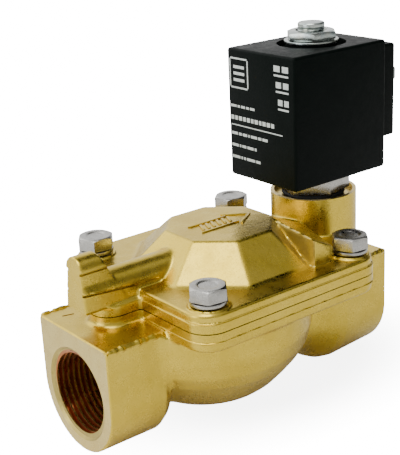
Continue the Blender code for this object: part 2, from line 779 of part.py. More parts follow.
def coil_inside():
    bobbin = (
        (13.0, 80.6), (13.0, 79.4), (8.0, 79.4), (8.0, 51.4),
        (13.0, 51.4), (13.0, 50.2), (6.9, 50.2), (6.9, 80.6),
    )
    as_part(turned("coil_bobbin", bobbin, TURRET_X), NYLON)
    as_part(ring("coil_winding", 8.3, 12.4, 51.7, 79.1, TURRET_X), COPPER)
    inner_top, inner_low = YOKE_TOP - YOKE_THICK, YOKE_LOW + YOKE_THICK
    side = (
        (YOKE_BACK, YOKE_LOW), (YOKE_FRONT, YOKE_LOW),
        (YOKE_FRONT, inner_low), (YOKE_BACK + YOKE_THICK, inner_low),
        (YOKE_BACK + YOKE_THICK, inner_top), (YOKE_FRONT, inner_top),
        (YOKE_FRONT, YOKE_TOP), (YOKE_BACK, YOKE_TOP),
    )
    yoke = prism("coil_yoke", side, -YOKE_HALF, YOKE_HALF, "Y")
    cut(yoke, post("yoke_bore", TURRET_X, 0.0, YOKE_LOW - 1.0, YOKE_TOP + 1.0, COIL_BORE))
    as_part(yoke, MAGNET_STEEL)


def coil_fixing():
    as_part(ring("coil_washer", STUD_RADIUS + 0.4, WASHER_RADIUS, WASHER_LOW, WASHER_TOP, TURRET_X), ZINC)
    nut = hexagon("coil_nut", TURRET_X, 0.0, NUT_LOW, NUT_TOP, NUT_ACROSS_FLATS, CORNER_ANGLE)
    corner = NUT_ACROSS_FLATS / math.sqrt(3.0)
    crown = cone("nut_crown", (TURRET_X, 0, NUT_LOW - 0.5), (TURRET_X, 0, NUT_TOP + 0.001), corner + 4.0, 6.9)
    boolean(nut, crown, "INTERSECT")
    cut(nut, post("nut_bore", TURRET_X, 0.0, NUT_LOW - 1.0, NUT_TOP + 1.0, STUD_RADIUS + GAP, 32))
    as_part(nut, ZINC)


valve_body()
valve_cover()
for place_number, (bolt_x, bolt_y) in enumerate(bolt_places(), 1):
    hex_bolt(place_number, bolt_x, bolt_y)
    spring_washer(place_number, bolt_x, bolt_y)
diaphragm()
pilot_nozzle()
armature_tube()
armature()
seals()
coil_housing()
coil_inside()
blades()
coil_fixing()
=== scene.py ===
"""Looks of the brass solenoid valve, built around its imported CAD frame.

The forged body and cover are meshed from distance fields, then cut by the tools that machine the
real ones. Lengths are in millimetres until a piece is finished, and then its mesh is in metres.
"""

import math

import bmesh
import bpy
import numpy as np
from mathutils import Matrix, Vector


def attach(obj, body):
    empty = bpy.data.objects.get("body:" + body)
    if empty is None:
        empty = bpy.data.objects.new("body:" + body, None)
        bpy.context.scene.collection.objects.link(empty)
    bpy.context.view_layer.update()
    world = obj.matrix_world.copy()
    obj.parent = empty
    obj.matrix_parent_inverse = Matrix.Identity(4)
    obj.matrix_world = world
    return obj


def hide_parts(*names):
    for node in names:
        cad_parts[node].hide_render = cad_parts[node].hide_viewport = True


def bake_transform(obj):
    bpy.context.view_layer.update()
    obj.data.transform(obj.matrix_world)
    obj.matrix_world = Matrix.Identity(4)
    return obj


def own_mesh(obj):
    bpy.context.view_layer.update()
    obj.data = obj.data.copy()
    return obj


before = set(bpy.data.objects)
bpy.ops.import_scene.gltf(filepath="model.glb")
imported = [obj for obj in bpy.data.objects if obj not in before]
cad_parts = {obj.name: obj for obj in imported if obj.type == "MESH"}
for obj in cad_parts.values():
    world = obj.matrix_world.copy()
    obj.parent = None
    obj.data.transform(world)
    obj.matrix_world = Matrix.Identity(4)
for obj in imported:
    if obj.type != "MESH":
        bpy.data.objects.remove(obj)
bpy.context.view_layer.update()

MM = 0.001
BODY_GRID = 0.535
COVER_GRID = 0.42
SHARP_ANGLE = 38.0

# Ports, body and seat
PORT_FACE = 54.6
PORT_TOP = 18.95
PORT_HALF = 17.55
BORE_MINOR = 12.05
BORE_MAJOR = 13.25
PITCH = 1.814
MOUTH_RADIUS = 14.05
MOUTH_INNER = 13.3
MOUTH_DEPTH = 0.7
FLANGE_HALF = 34.6
FLANGE_CORNER = 7.5
FLANGE_LOW = 16.3
BODY_TOP = 22.0
COVER_LOW = 22.3
COVER_TOP = 27.5
BOWL_X = -8.0
NECK_RADIUS = 13.4
NECK_HEIGHT = -0.7
BOWL_OUTLINE = (
    (0.0, 17.6), (33.1, 17.6), (33.1, 9.0), (31.9, 4.0), (29.6, 0.0), (26.4, -4.0), (22.8, -8.0),
    (19.8, -10.4), (15.6, -12.7), (10.6, -14.8), (6.0, -15.8), (0.0, -16.0),
)
INLET_ROOT = (
    (22.0, 10.0), (30.6, 12.4), (32.0, 14.2), (33.4, 16.2), (35.8, PORT_HALF), (60.0, PORT_HALF),
)
OUTLET_ROOT = (
    (18.0, 8.0), (25.0, 12.0), (27.6, 14.4), (30.4, 16.6), (33.0, 17.9), (36.0, 18.4),
    (PORT_FACE, PORT_HALF), (60.0, PORT_HALF),
)

# Cover
COVER_STEP = 25.1
FLASH_HEIGHT = 19.4
DOME_BASE = 26.8
DOME_TOP = 37.6
DOME_BASE_APOTHEM = 27.2
DOME_TOP_APOTHEM = 15.8
TONGUE_HALF = 6.0
TONGUE_END = 47.0
TONGUE_TOP = 25.6
RIDGE_HALF = 5.0
RIDGE_TOP = 34.6
RIDGE_END = 52.0
RIDGE_LOW = 25.2
RIDGE_WALL = 3.35
RIDGE_WALL_HIGH = 38.0
RIDGE_TAPER = 0.125
ROD_START = 51.9
ROD_LOW = 31.0
ROD_FALL = 0.082
NUB_HALF = 4.0
NUB_TOP = 41.0
TURRET_X = 39.2
TURRET = (TURRET_X, 0.0)
BOSS_RADIUS = 13.75
BOSS_TOP = 39.7
FEED_X = -40.0
FEED = (FEED_X, 0.0)
WEB_CORNERS = (
    (14.6, -6.4, 37.5), (14.6, 5.0, 36.4), (12.5, -27.95, 35.9), (20.4, -27.4, 32.0), (27.0, -8.0, 32.4),
    (27.0, 6.0, 31.4), (12.4, -28.0, 24.0), (21.5, -28.2, 24.0), (31.0, -14.0, 24.0), (31.0, 10.0, 24.0),
    (15.0, 15.0, 24.0), (14.4, -6.4, 24.0),
)
BOLT_X = 27.27
BOLT_SHIFT = 0.18
BOLT_Y = 27.64
PAD_RADIUS = 5.8
PAD_TOP = 28.2
BOLT_PLACES = tuple(
    (BOLT_SHIFT + side_x * BOLT_X, side_y * BOLT_Y) for side_x in (-1, 1) for side_y in (-1, 1)
)
NUT_ANGLE = 232.3
BOLT_ANGLES = (NUT_ANGLE, NUT_ANGLE, NUT_ANGLE, 218.0)


def around(place, radius, angle):
    """The point at an angle on a circle about place."""
    return place[0] + radius * math.cos(angle), place[1] + radius * math.sin(angle)


# Materials


def feed(tree, socket, value):
    """Links an input to another node's output, or sets its value."""
    if isinstance(value, bpy.types.NodeSocket):
        tree.links.new(value, socket)
    else:
        socket.default_value = value


def add_node(tree, kind, **inputs):
    """A shader node. Each name is an input's name with _ for a space, or a property in capitals."""
    node = tree.nodes.new(kind)
    for name, value in inputs.items():
        if name.isupper():
            setattr(node, name.lower(), value)
        else:
            feed(tree, node.inputs[name.replace("_", " ")], value)
    return node


def grain(tree, size, low, high):
    """Noise whose features are size millimetres across, as a value from low to high."""
    place = add_node(tree, "ShaderNodeTexCoord").outputs["Object"]
    noise = add_node(tree, "ShaderNodeTexNoise", Vector=place, Scale=1.0 / (size * MM), Detail=3.0)
    span = add_node(
        tree, "ShaderNodeMapRange", Value=noise.outputs["Fac"], From_Min=0.32, From_Max=0.68,
        To_Min=low, To_Max=high,
    )
    return span.outputs["Result"]


def blend_colours(tree, share, first, second):
    mix = add_node(tree, "ShaderNodeMix", DATA_TYPE="RGBA", Factor=share)
    feed(tree, mix.inputs[6], first)
    feed(tree, mix.inputs[7], second)
    return mix.outputs[2]


def finish(name, tones, roughness, bumps, tone_size=3.0, speck=(0.3, 0.8), metallic=1.0, specular=0.5):
    """A material: two tones in patches, specks, uneven roughness and bumps of (size, height)."""
    made = bpy.data.materials.new(name)
    made.use_nodes = True
    tree = made.node_tree
    inputs = tree.nodes["Principled BSDF"].inputs
    inputs["Metallic"].default_value = metallic
    inputs["Specular IOR Level"].default_value = specular
    light, deep = [(*tone, 1.0) for tone in tones]
    speck_size, speck_share = speck
    dark = (*(value * speck_share for value in tones[1]), 1.0)
    colour = blend_colours(tree, grain(tree, tone_size, 0.0, 1.0), light, deep)
    colour = blend_colours(tree, grain(tree, speck_size, -1.2, 0.6), colour, dark)
    feed(tree, inputs["Base Color"], colour)
    rough = add_node(tree, "ShaderNodeMath", OPERATION="ADD")
    feed(tree, rough.inputs[0], grain(tree, tone_size * 0.4, *roughness))
    feed(tree, rough.inputs[1], grain(tree, speck_size, -0.03, 0.05))
    feed(tree, inputs["Roughness"], rough.outputs[0])
    fed = inputs["Normal"]
    for size, height in reversed(bumps):
        bump = add_node(tree, "ShaderNodeBump", Height=grain(tree, size, 0.0, 1.0), Distance=height * MM)
        feed(tree, fed, bump.outputs["Normal"])
        fed = bump.inputs["Normal"]
    return made


FORGED = finish(
    "forged brass", ((0.66, 0.485, 0.066), (0.58, 0.415, 0.045)), (0.24, 0.34),
    ((0.32, 0.005), (0.9, 0.010), (4.0, 0.04)), 9.0, (0.5, 0.86),
)
MACHINED = finish(
    "machined brass", ((0.66, 0.52, 0.19), (0.60, 0.46, 0.15)), (0.24, 0.32),
    ((0.25, 0.006),), 5.0, (0.3, 0.85),
)
# Dark red-brown brass for the tapped threads and the tick: painted shade, the colour of light bounced deep
# in the bore
THREAD_SHADE_BRASS = finish(
    "thread brass with painted shade", ((0.46, 0.175, 0.060), (0.37, 0.130, 0.042)), (0.28, 0.36), (), 6.0, (0.3, 0.9),
)
# Darker brass that paints shade: on the port mouths' chamfers, and on the web's wall and the dome facet
# behind it
PAINTED_SHADE_BRASS = finish(
    "brass with painted shade", ((0.47, 0.37, 0.11), (0.40, 0.31, 0.09)), (0.34, 0.44),
    ((0.32, 0.005), (0.9, 0.010)), 5.0, (0.5, 0.86),
)
TURNED = finish(
    "turned brass", ((0.66, 0.50, 0.16), (0.60, 0.43, 0.12)), (0.18, 0.26),
    ((0.25, 0.004),), 3.0, (0.3, 0.85),
)
STAINLESS = finish(
    "stainless steel", ((0.44, 0.43, 0.405), (0.36, 0.35, 0.325)), (0.24, 0.36),
    ((0.3, 0.015), (1.1, 0.02)), 2.5, (0.35, 0.75),
)
ZINC = finish(
    "zinc plated steel", ((0.36, 0.42, 0.42), (0.46, 0.48, 0.43)), (0.16, 0.26),
    ((0.3, 0.006),), 3.0, (0.3, 0.85),
)
TUBE_STEEL = finish(
    "tube steel", ((0.46, 0.445, 0.41), (0.39, 0.375, 0.34)), (0.22, 0.32), ((0.3, 0.008),),
)
MAGNET_STEEL = finish(
    "magnet steel", ((0.40, 0.40, 0.42), (0.33, 0.33, 0.35)), (0.32, 0.44), ((0.3, 0.01),),
)
SPRING_STEEL = finish(
    "spring steel", ((0.50, 0.50, 0.52), (0.42, 0.42, 0.45)), (0.25, 0.36),
    ((0.2, 0.006),), 2.0, (0.2, 0.8),
)
COPPER = finish(
    "enamelled copper", ((0.62, 0.24, 0.09), (0.50, 0.17, 0.06)), (0.28, 0.36), ((0.3, 0.006),),
)
RESIN = finish(
    "black resin", ((0.0010, 0.0026, 0.0019), (0.0016, 0.0034, 0.0026)), (0.36, 0.46),
    ((0.16, 0.010), (2.4, 0.02)), 7.0, (0.25, 0.7), 0.0, 0.05,
)
NYLON = finish(
    "bobbin nylon", ((0.34, 0.32, 0.27), (0.28, 0.26, 0.22)), (0.45, 0.55),
    ((0.3, 0.01),), 4.0, (0.3, 0.8), 0.0, 0.4,
)
RUBBER = finish(
    "black rubber", ((0.018, 0.018, 0.018), (0.026, 0.025, 0.024)), (0.58, 0.72),
    ((0.25, 0.012),), 4.0, (0.3, 0.7), 0.0, 0.3,
)
PRINT = finish(
    "white print", ((0.56, 0.60, 0.57), (0.46, 0.50, 0.48)), (0.45, 0.55),
    ((0.2, 0.004),), 1.5, (0.25, 0.75), 0.0, 0.4,
)


# Distance fields, in millimetres


def fillet(first, second, radius):
    """The union of two shapes, with a round fillet where they meet."""
    inner = np.hypot(np.maximum(radius - first, 0.0), np.maximum(radius - second, 0.0))
    return np.maximum(radius, np.minimum(first, second)) - inner


def rounded(first, second, radius):
    """What two shapes share, with a round edge where their surfaces cross."""
    outer = np.hypot(np.maximum(radius + first, 0.0), np.maximum(radius + second, 0.0))
    return np.minimum(-radius, np.maximum(first, second)) + outer


def flange_plan(x, y, half):
    """A square with round corners, seen from above."""
    over_x = np.abs(x) - half + FLANGE_CORNER
    over_y = np.abs(y) - half + FLANGE_CORNER
    outside = np.hypot(np.maximum(over_x, 0.0), np.maximum(over_y, 0.0))
    return outside + np.minimum(np.maximum(over_x, over_y), 0.0) - FLANGE_CORNER


def arch(y, z, half, top):
    """A section with upright sides and a round top."""
    centre = top - half
    return np.where(z > centre, np.hypot(y, z - centre), np.abs(y)) - half


def stadium(x, y, end, half):
    """A tongue seen from above, its round end towards -X."""
    centre = half - end
    return np.where(x < centre, np.hypot(x - centre, y), np.abs(y)) - half


class TurnedShape:
    """The distance to a shape turned about an upright axis, looked up in a softened table."""

    def __init__(self, outline, axis_x):
        softness, step = 6, 0.25
        self.axis_x, self.step, self.low = axis_x, step, -24.0
        spans = np.arange(0.0, 80.0, step), np.arange(self.low, 34.0, step)
        radius, height = np.meshgrid(*spans, indexing="ij")
        nearest = np.full(radius.shape, 1e9)
        inside = np.zeros(radius.shape, bool)
        mirrored = [(-r, h) for r, h in reversed(outline[1:-1])]
        ring = list(outline) + mirrored
        for (ar, ah), (br, bh) in zip(ring, ring[1:] + ring[:1]):
            dr, dh = br - ar, bh - ah
            along = np.clip(((radius - ar) * dr + (height - ah) * dh) / (dr * dr + dh * dh), 0.0, 1.0)
            nearest = np.minimum(nearest, np.hypot(radius - ar - along * dr, height - ah - along * dh))
            if dh != 0.0:
                crosses = ((ah > height) != (bh > height)) & (radius < ar + dr * (height - ah) / dh)
                inside ^= crosses
        table = np.where(inside, -nearest, nearest)
        for _ in range(softness):
            wide = np.concatenate([table[1:2], table, table[-1:]])
            table = (wide[:-2] + 2 * wide[1:-1] + wide[2:]) / 4
            wide = np.concatenate([table[:, :1], table, table[:, -1:]], axis=1)
            table = (wide[:, :-2] + 2 * wide[:, 1:-1] + wide[:, 2:]) / 4
        self.table = table

    def __call__(self, x, y, z):
        across = np.hypot(x - self.axis_x, y) / self.step
        up = (z - self.low) / self.step
        column = np.clip(across.astype(int), 0, self.table.shape[0] - 2)
        row = np.clip(up.astype(int), 0, self.table.shape[1] - 2)
        part_a = np.clip(across - column, 0.0, 1.0)
        part_b = np.clip(up - row, 0.0, 1.0)
        low = self.table[column, row] * (1 - part_a) + self.table[column + 1, row] * part_a
        high = self.table[column, row + 1] * (1 - part_a) + self.table[column + 1, row + 1] * part_a
        return low * (1 - part_b) + high * part_b


BOWL = TurnedShape(BOWL_OUTLINE, BOWL_X)


def port(along, y, z, root):
    """A port block whose section is a D with a flat top."""
    places, halves = zip(*root)
    half = np.interp(along, places, halves)
    section = np.where(z < 0.0, np.hypot(y, z), np.abs(y)) - half
    section = np.maximum(section, places[0] - along)
    return rounded(section, z - PORT_TOP, 1.1)


def body_shape(x, y, z):
    lower = rounded(flange_plan(x, y, FLANGE_HALF - 0.3), FLANGE_LOW - z, 1.2)
    upper = rounded(flange_plan(x, y, FLANGE_HALF), FLASH_HEIGHT - z, 0.25)
    flange = np.minimum(lower, upper)
    neck = np.maximum(np.hypot(y, z - NECK_HEIGHT) - NECK_RADIUS, np.maximum(BOWL_X - x, x - 36.0))
    shape = fillet(BOWL(x, y, z), neck, 2.5)
    shape = fillet(shape, port(x, y, z, OUTLET_ROOT), 1.6)
    shape = fillet(shape, port(-x, y, z, INLET_ROOT), 2.0)
    shape = fillet(shape, flange, 1.0)
    tongue = np.maximum(stadium(x, y, TONGUE_END, TONGUE_HALF), np.maximum(16.0 - z, x + 30.0))
    shape = fillet(shape, tongue, 1.8)
    pad = np.maximum(np.hypot(x - TURRET_X, y) - 13.0, 16.0 - z)
    shape = fillet(shape, pad, 1.2)
    return np.maximum(rounded(shape, np.abs(x) - PORT_FACE, 0.4), z - BODY_TOP - 2.0)


def within(planes, x, y, z, edge):
    """What lies inside every plane, with round edges."""
    shape = None
    for normal, offset in planes:
        side = x * normal[0] + y * normal[1] + z * normal[2] - offset
        shape = side if shape is None else rounded(shape, side, edge)
    return shape


def dome_planes():
    """The planes of the dome's eight facets, each as (normal, offset)."""
    rise = (DOME_BASE_APOTHEM - DOME_TOP_APOTHEM) / (DOME_TOP - DOME_BASE)
    lean = 1.0 / math.hypot(1.0, rise)
    offset = (DOME_TOP_APOTHEM + rise * DOME_TOP) * lean
    return [((*around((0, 0), lean, math.radians(45.0 * side)), rise * lean), offset) for side in range(8)]


def hull_planes(corners):
    """The outward planes of the hull of some points, each as (normal, offset)."""
    bm = bmesh.new()
    for corner in corners:
        bm.verts.new(corner)
    hull = bmesh.ops.convex_hull(bm, input=bm.verts)
    loose = [item for item in hull["geom_interior"] if isinstance(item, bmesh.types.BMVert)]
    bmesh.ops.delete(bm, geom=loose, context="VERTS")
    bmesh.ops.dissolve_limit(bm, angle_limit=math.radians(2.0), verts=bm.verts, edges=bm.edges)
    bmesh.ops.recalc_face_normals(bm, faces=bm.faces)
    planes = [(tuple(face.normal), face.normal.dot(face.calc_center_median())) for face in bm.faces]
    bm.free()
    return planes


DOME_PLANES = dome_planes()
WEB_PLANES = hull_planes(WEB_CORNERS)


def ridge(x, y, z):
    """The feed channel's rod, proud of a wall that widens downwards."""
    rod_shape = rounded(arch(y, z, RIDGE_HALF, RIDGE_TOP), -ROD_START - x, 0.8)
    rod_shape = np.maximum(rod_shape, ROD_LOW - ROD_FALL * (x + RIDGE_END) - z)
    wall = np.maximum(np.abs(y) - wall_half(z), z - 32.4)
    wall = rounded(wall, -RIDGE_END - x, 0.35)
    return np.maximum(np.minimum(rod_shape, wall), np.maximum(RIDGE_LOW - z, x + 14.0))


def wall_half(z):
    return RIDGE_WALL + RIDGE_TAPER * np.maximum(RIDGE_WALL_HIGH - z, 0.0)


def nub(x, y, z):
    """The raised end of the ridge: a round roof on a wall, sloping down on its inner side."""
    slope = (x + 45.8) * 0.8987 + (z - 42.0) * 0.4389
    eaves = NUB_TOP - NUB_HALF
    roof = np.maximum(np.hypot(y, z - eaves) - NUB_HALF, eaves - z)
    wall = np.maximum(np.abs(y) - wall_half(z), z - eaves - 1.0)
    cap = rounded(np.minimum(roof, wall), slope, 0.25)
    return np.maximum(rounded(cap, -RIDGE_END - x, 0.3), RIDGE_LOW - z)


def cover_shape(x, y, z):
    upper = rounded(flange_plan(x, y, FLANGE_HALF - 0.35), z - COVER_TOP, 0.8)
    lower = rounded(flange_plan(x, y, FLANGE_HALF), z - COVER_STEP, 0.25)
    shape = np.minimum(upper, lower)
    tongue = rounded(stadium(x, y, TONGUE_END, TONGUE_HALF), z - TONGUE_TOP, 0.8)
    shape = fillet(shape, np.maximum(tongue, x + 30.0), 1.0)
    shape = fillet(shape, rounded(within(DOME_PLANES, x, y, z, 0.4), z - DOME_TOP, 0.45), 0.8)
    shape = fillet(shape, within(WEB_PLANES, x, y, z, 0.3), 0.35)
    shape = fillet(shape, ridge(x, y, z), 0.8)
    shape = fillet(shape, nub(x, y, z), 0.4)
    boss = rounded(np.hypot(x - TURRET_X, y) - BOSS_RADIUS, z - BOSS_TOP - 2.0, 0.3)
    shape = fillet(shape, boss, 1.0)
    for bolt_x, bolt_y in BOLT_PLACES:
        across = np.hypot(x - bolt_x, y - bolt_y)
        shape = np.maximum(shape, -np.maximum(across - PAD_RADIUS - 0.8, PAD_TOP - z))
        shape = fillet(shape, rounded(across - PAD_RADIUS, z - PAD_TOP, 0.3), 0.5)
    return np.maximum(shape, COVER_LOW - 2.0 - z)


# Meshes from fields


def slopes(field, points):
    """The field's gradient at each point."""
    reach = 0.05
    rises = [field(*(points + step).T) - field(*(points - step).T) for step in reach * np.eye(3)]
    return np.stack(rises, axis=1) / (2 * reach)


def settled(field, points, rounds):
    """Points moved onto the field's surface."""
    for _ in range(rounds):
        slope = slopes(field, points)
        steepness = np.maximum((slope ** 2).sum(axis=1), 0.3)
        move = np.clip(field(*points.T) / steepness, -0.25, 0.25)
        points = points - slope * move[:, None]
    return points


def field_mesh(field, low, high, step):
    """The surface of a field as (points, quads), even and close to the exact surface."""
    low = np.array(low, float) - 0.37 * step
    counts = [int(math.ceil((b - a) / step)) + 2 for a, b in zip(low, high)]
    axes = [a + step * np.arange(count) for a, count in zip(low, counts)]
    value = field(*np.meshgrid(*axes, indexing="ij"))
    inside = value < 0.0
    corners = [(i, j, k) for i in (0, 1) for j in (0, 1) for k in (0, 1)]
    size = [count - 1 for count in counts]
    filled = sum(inside[i:i + size[0], j:j + size[1], k:k + size[2]].astype(np.int8) for i, j, k in corners)
    cells = np.argwhere((filled > 0) & (filled < 8))
    number = np.full(size, -1)
    number[tuple(cells.T)] = np.arange(len(cells))
    total = np.zeros((len(cells), 3))
    hits = np.zeros(len(cells))
    for start in corners:
        for axis in range(3):
            if start[axis]:
                continue
            first = cells + start
            second = first + np.eye(3, dtype=int)[axis]
            a, b = value[tuple(first.T)], value[tuple(second.T)]
            crossed = (a < 0.0) != (b < 0.0)
            share = np.where(crossed, a / np.where(crossed, a - b, 1.0), 0.0)
            place = np.array(start, float) + share[:, None] * np.eye(3)[axis]
            total += place * crossed[:, None]
            hits += crossed
    points = low + step * (cells + total / hits[:, None])
    quads = []
    for axis in range(3):
        u, v = [(1, 2), (2, 0), (0, 1)][axis]
        here = [slice(1, -1)] * 3
        here[axis] = slice(0, -1)
        ahead = list(here)
        ahead[axis] = slice(1, None)
        change = inside[tuple(here)].astype(np.int8) - inside[tuple(ahead)].astype(np.int8)
        edges = np.argwhere(change != 0)
        turn = change[tuple(edges.T)]
        offset = np.ones(3, int)
        offset[axis] = 0
        base = edges + offset
        sides = []
        for back_u, back_v in ((1, 1), (0, 1), (0, 0), (1, 0)):
            cell = base.copy()
            cell[:, u] -= back_u
            cell[:, v] -= back_v
            sides.append(number[tuple(cell.T)])
        ring = np.stack(sides, axis=1)
        quads.append(np.where(turn[:, None] > 0, ring, ring[:, ::-1]))
    quads = np.concatenate(quads)
    links = np.concatenate([quads[:, [i, (i + 1) % 4]] for i in range(4)])
    both = np.concatenate([links, links[:, ::-1]])
    degree = np.bincount(both[:, 0], minlength=len(points))
    points = settled(field, points, 3)
    for _ in range(3):
        pulled = [np.bincount(both[:, 0], points[both[:, 1], axis], len(points)) for axis in range(3)]
        points = 0.5 * points + 0.5 * np.stack(pulled, axis=1) / degree[:, None]
        points = settled(field, points, 2)
    return points, quads


# Building helpers


def new_object(name, data, *materials):
    made = bpy.data.objects.new(name, data)
    bpy.context.scene.collection.objects.link(made)
    for material in materials:
        data.materials.append(material)
    return made


def from_field(name, field, low, high, step, *materials):
    points, quads = field_mesh(field, low, high, step)
    mesh = bpy.data.meshes.new(name)
    mesh.from_pydata(points.tolist(), [], quads.tolist())
    return new_object(name, mesh, *materials)


def from_bmesh(name, bm, material):
    bmesh.ops.recalc_face_normals(bm, faces=bm.faces)
    mesh = bpy.data.meshes.new(name)
    bm.to_mesh(mesh)
    bm.free()
    return new_object(name, mesh, material)


def softened(outline, radius, closed, arc=3):
    """An outline of (radius, height) with its corners rounded."""
    points = []
    count = len(outline)
    for i, corner in enumerate(outline):
        if not closed and i in (0, count - 1):
            points.append(corner)
            continue
        before, after = outline[i - 1], outline[(i + 1) % count]
        reach = min(radius, 0.45 * math.dist(corner, before), 0.45 * math.dist(corner, after))
        start = [c + (b - c) * reach / math.dist(corner, before) for c, b in zip(corner, before)]
        end = [c + (a - c) * reach / math.dist(corner, after) for c, a in zip(corner, after)]
        for step in range(arc + 1):
            t = step / arc
            points.append(tuple(
                (1 - t) ** 2 * s + 2 * t * (1 - t) * c + t * t * e for s, c, e in zip(start, corner, end)
            ))
    return points


def revolve(name, outline, material, place=(0.0, 0.0), steps=96, closed=False, soft=0.0):
    """A solid turned about the upright axis at place, from an outline of (radius, height)."""
    if soft:
        outline = softened(outline, soft, closed)
    bm = bmesh.new()
    rows = []
    for radius, height in outline:
        angles = [math.tau * i / steps for i in range(steps if radius > 1e-6 else 1)]
        rows.append([bm.verts.new((*around(place, radius, angle), height)) for angle in angles])
    pairs = list(zip(rows, rows[1:])) + ([(rows[-1], rows[0])] if closed else [])
    for upper, lower in pairs:
        for i in range(steps):
            j = (i + 1) % steps
            corners = [row[k % len(row)] for row, k in ((upper, i), (upper, j), (lower, j), (lower, i))]
            face = [v for k, v in enumerate(corners) if v not in corners[:k]]
            if len(face) > 2:
                bm.faces.new(face)
    return from_bmesh(name, bm, material)


def rod(name, start, end, radius, material, end_radius=None, steps=64):
    """A capped cylinder or cone between two points."""
    start, end = Vector(start), Vector(end)
    bm = bmesh.new()
    bmesh.ops.create_cone(
        bm, cap_ends=True, segments=steps, depth=(end - start).length,
        radius1=radius, radius2=radius if end_radius is None else end_radius,
    )
    aim = (end - start).to_track_quat("Z", "Y").to_matrix().to_4x4()
    bmesh.ops.transform(bm, matrix=Matrix.Translation((start + end) / 2) @ aim, verts=bm.verts)
    return from_bmesh(name, bm, material)


def upright_rod(name, place, low, high, radius, material, steps=64):
    return rod(name, (*place, low), (*place, high), radius, material, steps=steps)


def add_box(bm, low, high):
    size = [b - a for a, b in zip(low, high)]
    centre = [(a + b) / 2 for a, b in zip(low, high)]
    bmesh.ops.create_cube(bm, size=1.0, matrix=Matrix.Translation(centre) @ Matrix.Diagonal((*size, 1.0)))


def brick(name, low, high, material):
    bm = bmesh.new()
    add_box(bm, low, high)
    return from_bmesh(name, bm, material)


def prism(name, outline, low, high, axis, material):
    """A flat outline pushed from low to high along Y or Z. Its points are in the other two axes."""
    bm = bmesh.new()
    lower, upper = [
        [bm.verts.new((a, depth, b) if axis == "Y" else (a, b, depth)) for a, b in outline]
        for depth in (low, high)
    ]
    bm.faces.new(lower)
    bm.faces.new(upper)
    for i in range(len(outline)):
        j = (i + 1) % len(outline)
        bm.faces.new((lower[i], lower[j], upper[j], upper[i]))
    return from_bmesh(name, bm, material)


def hexagon(centre, across_flats, corner_angle):
    reach = across_flats / math.sqrt(3.0)
    return [around(centre, reach, math.radians(corner_angle + 60.0 * i)) for i in range(6)]


def sweep(name, sections, material):
    """A solid through sections of equal point counts, capped at both ends."""
    bm = bmesh.new()
    loops = [[bm.verts.new(point) for point in section] for section in sections]
    for first, second in zip(loops, loops[1:]):
        for i in range(len(first)):
            j = (i + 1) % len(first)
            bm.faces.new((first[i], first[j], second[j], second[i]))
    bm.faces.new(loops[0])
    bm.faces.new(loops[-1])
    return from_bmesh(name, bm, material)


def thread(name, root, crest, start, end, pitch, material, place=(0.0, 0.0), axis="Z", steps=64, samples=10):
    """A screw-threaded rod whose radius waves between root and crest."""
    rings = int(round(abs(end - start) / pitch * samples))
    sections = []
    for k in range(rings + 1):
        along = start + (end - start) * k / rings
        section = []
        for i in range(steps):
            phase = (along / pitch - i / steps) % 1.0
            wave = min(max((abs(2.0 * phase - 1.0) - 0.12) / 0.76, 0.0), 1.0)
            a, b = around(place, root + (crest - root) * wave, math.tau * i / steps)
            section.append((a, b, along) if axis == "Z" else (along, a, b))
        sections.append(section)
    return sweep(name, sections, material)


def boolean(target, others, operation, solver="EXACT"):
    """Applies a Boolean with each of the others, which are then removed."""
    for other in others:
        modifier = target.modifiers.new(other.name, "BOOLEAN")
        modifier.operation = operation
        modifier.object = other
        modifier.solver = solver
        if solver != "MANIFOLD":
            modifier.material_mode = "TRANSFER"
    applied(target)
    for other in others:
        bpy.data.objects.remove(other)
    return target


def applied(target):
    """Makes the modifiers' result the object's own mesh."""
    bpy.context.view_layer.update()
    shown = target.evaluated_get(bpy.context.evaluated_depsgraph_get())
    mesh = bpy.data.meshes.new_from_object(shown)
    target.modifiers.clear()
    target.data = mesh
    return target


def bevelled(target, width, segments=3, angle=35.0):
    """Rounds the edges that are sharper than an angle in degrees."""
    bevel = target.modifiers.new("edge", "BEVEL")
    bevel.width = width
    bevel.segments = segments
    bevel.limit_method = "ANGLE"
    bevel.angle_limit = math.radians(angle)
    return applied(target)


def crowned_hexagon(name, place, across_flats, angle, low, high, crown, material, edge=0.16):
    """A hexagon whose corners a turned outline cuts."""
    head = prism(name, hexagon(place, across_flats, angle), low, high, "Z", material)
    boolean(head, [revolve("crown", crown, material, place)], "INTERSECT")
    return bevelled(head, edge, 2, 25.0)


def piece(target, body, *nodes, slot=None):
    """Finishes a piece: metres, shading, the body it rides on and the nodes it stands for."""
    slot = slot or target.data.materials[0].name.replace(" ", "_")
    target.data.transform(Matrix.Scale(MM, 4))
    target.data.shade_smooth()
    target.data.set_sharp_from_angle(angle=math.radians(SHARP_ANGLE))
    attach(target, body)
    if nodes:
        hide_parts(*nodes)
    return target


def edge_path(side):
    """Points and outward directions round the flange's half on one side of the XZ plane."""
    straight = FLANGE_HALF - FLANGE_CORNER
    points = [(-FLANGE_HALF, y, -1.0, 0.0) for y in np.linspace(8.0, straight, 8)[:-1]]
    for middle, first, last in ((-straight, 180.0, 90.0), (straight, 90.0, 0.0)):
        if middle > 0.0:
            points += [(x, FLANGE_HALF, 0.0, 1.0) for x in np.linspace(-straight, straight, 60)[1:-1]]
        for angle in np.radians(np.linspace(first, last, 12)):
            out = math.cos(angle), math.sin(angle)
            points.append((*around((middle, straight), FLANGE_CORNER, angle), *out))
    points += [(FLANGE_HALF, y, 1.0, 0.0) for y in np.linspace(straight, 16.0, 8)[1:]]
    return [(x, side * y, a, side * b) for x, y, a, b in points]


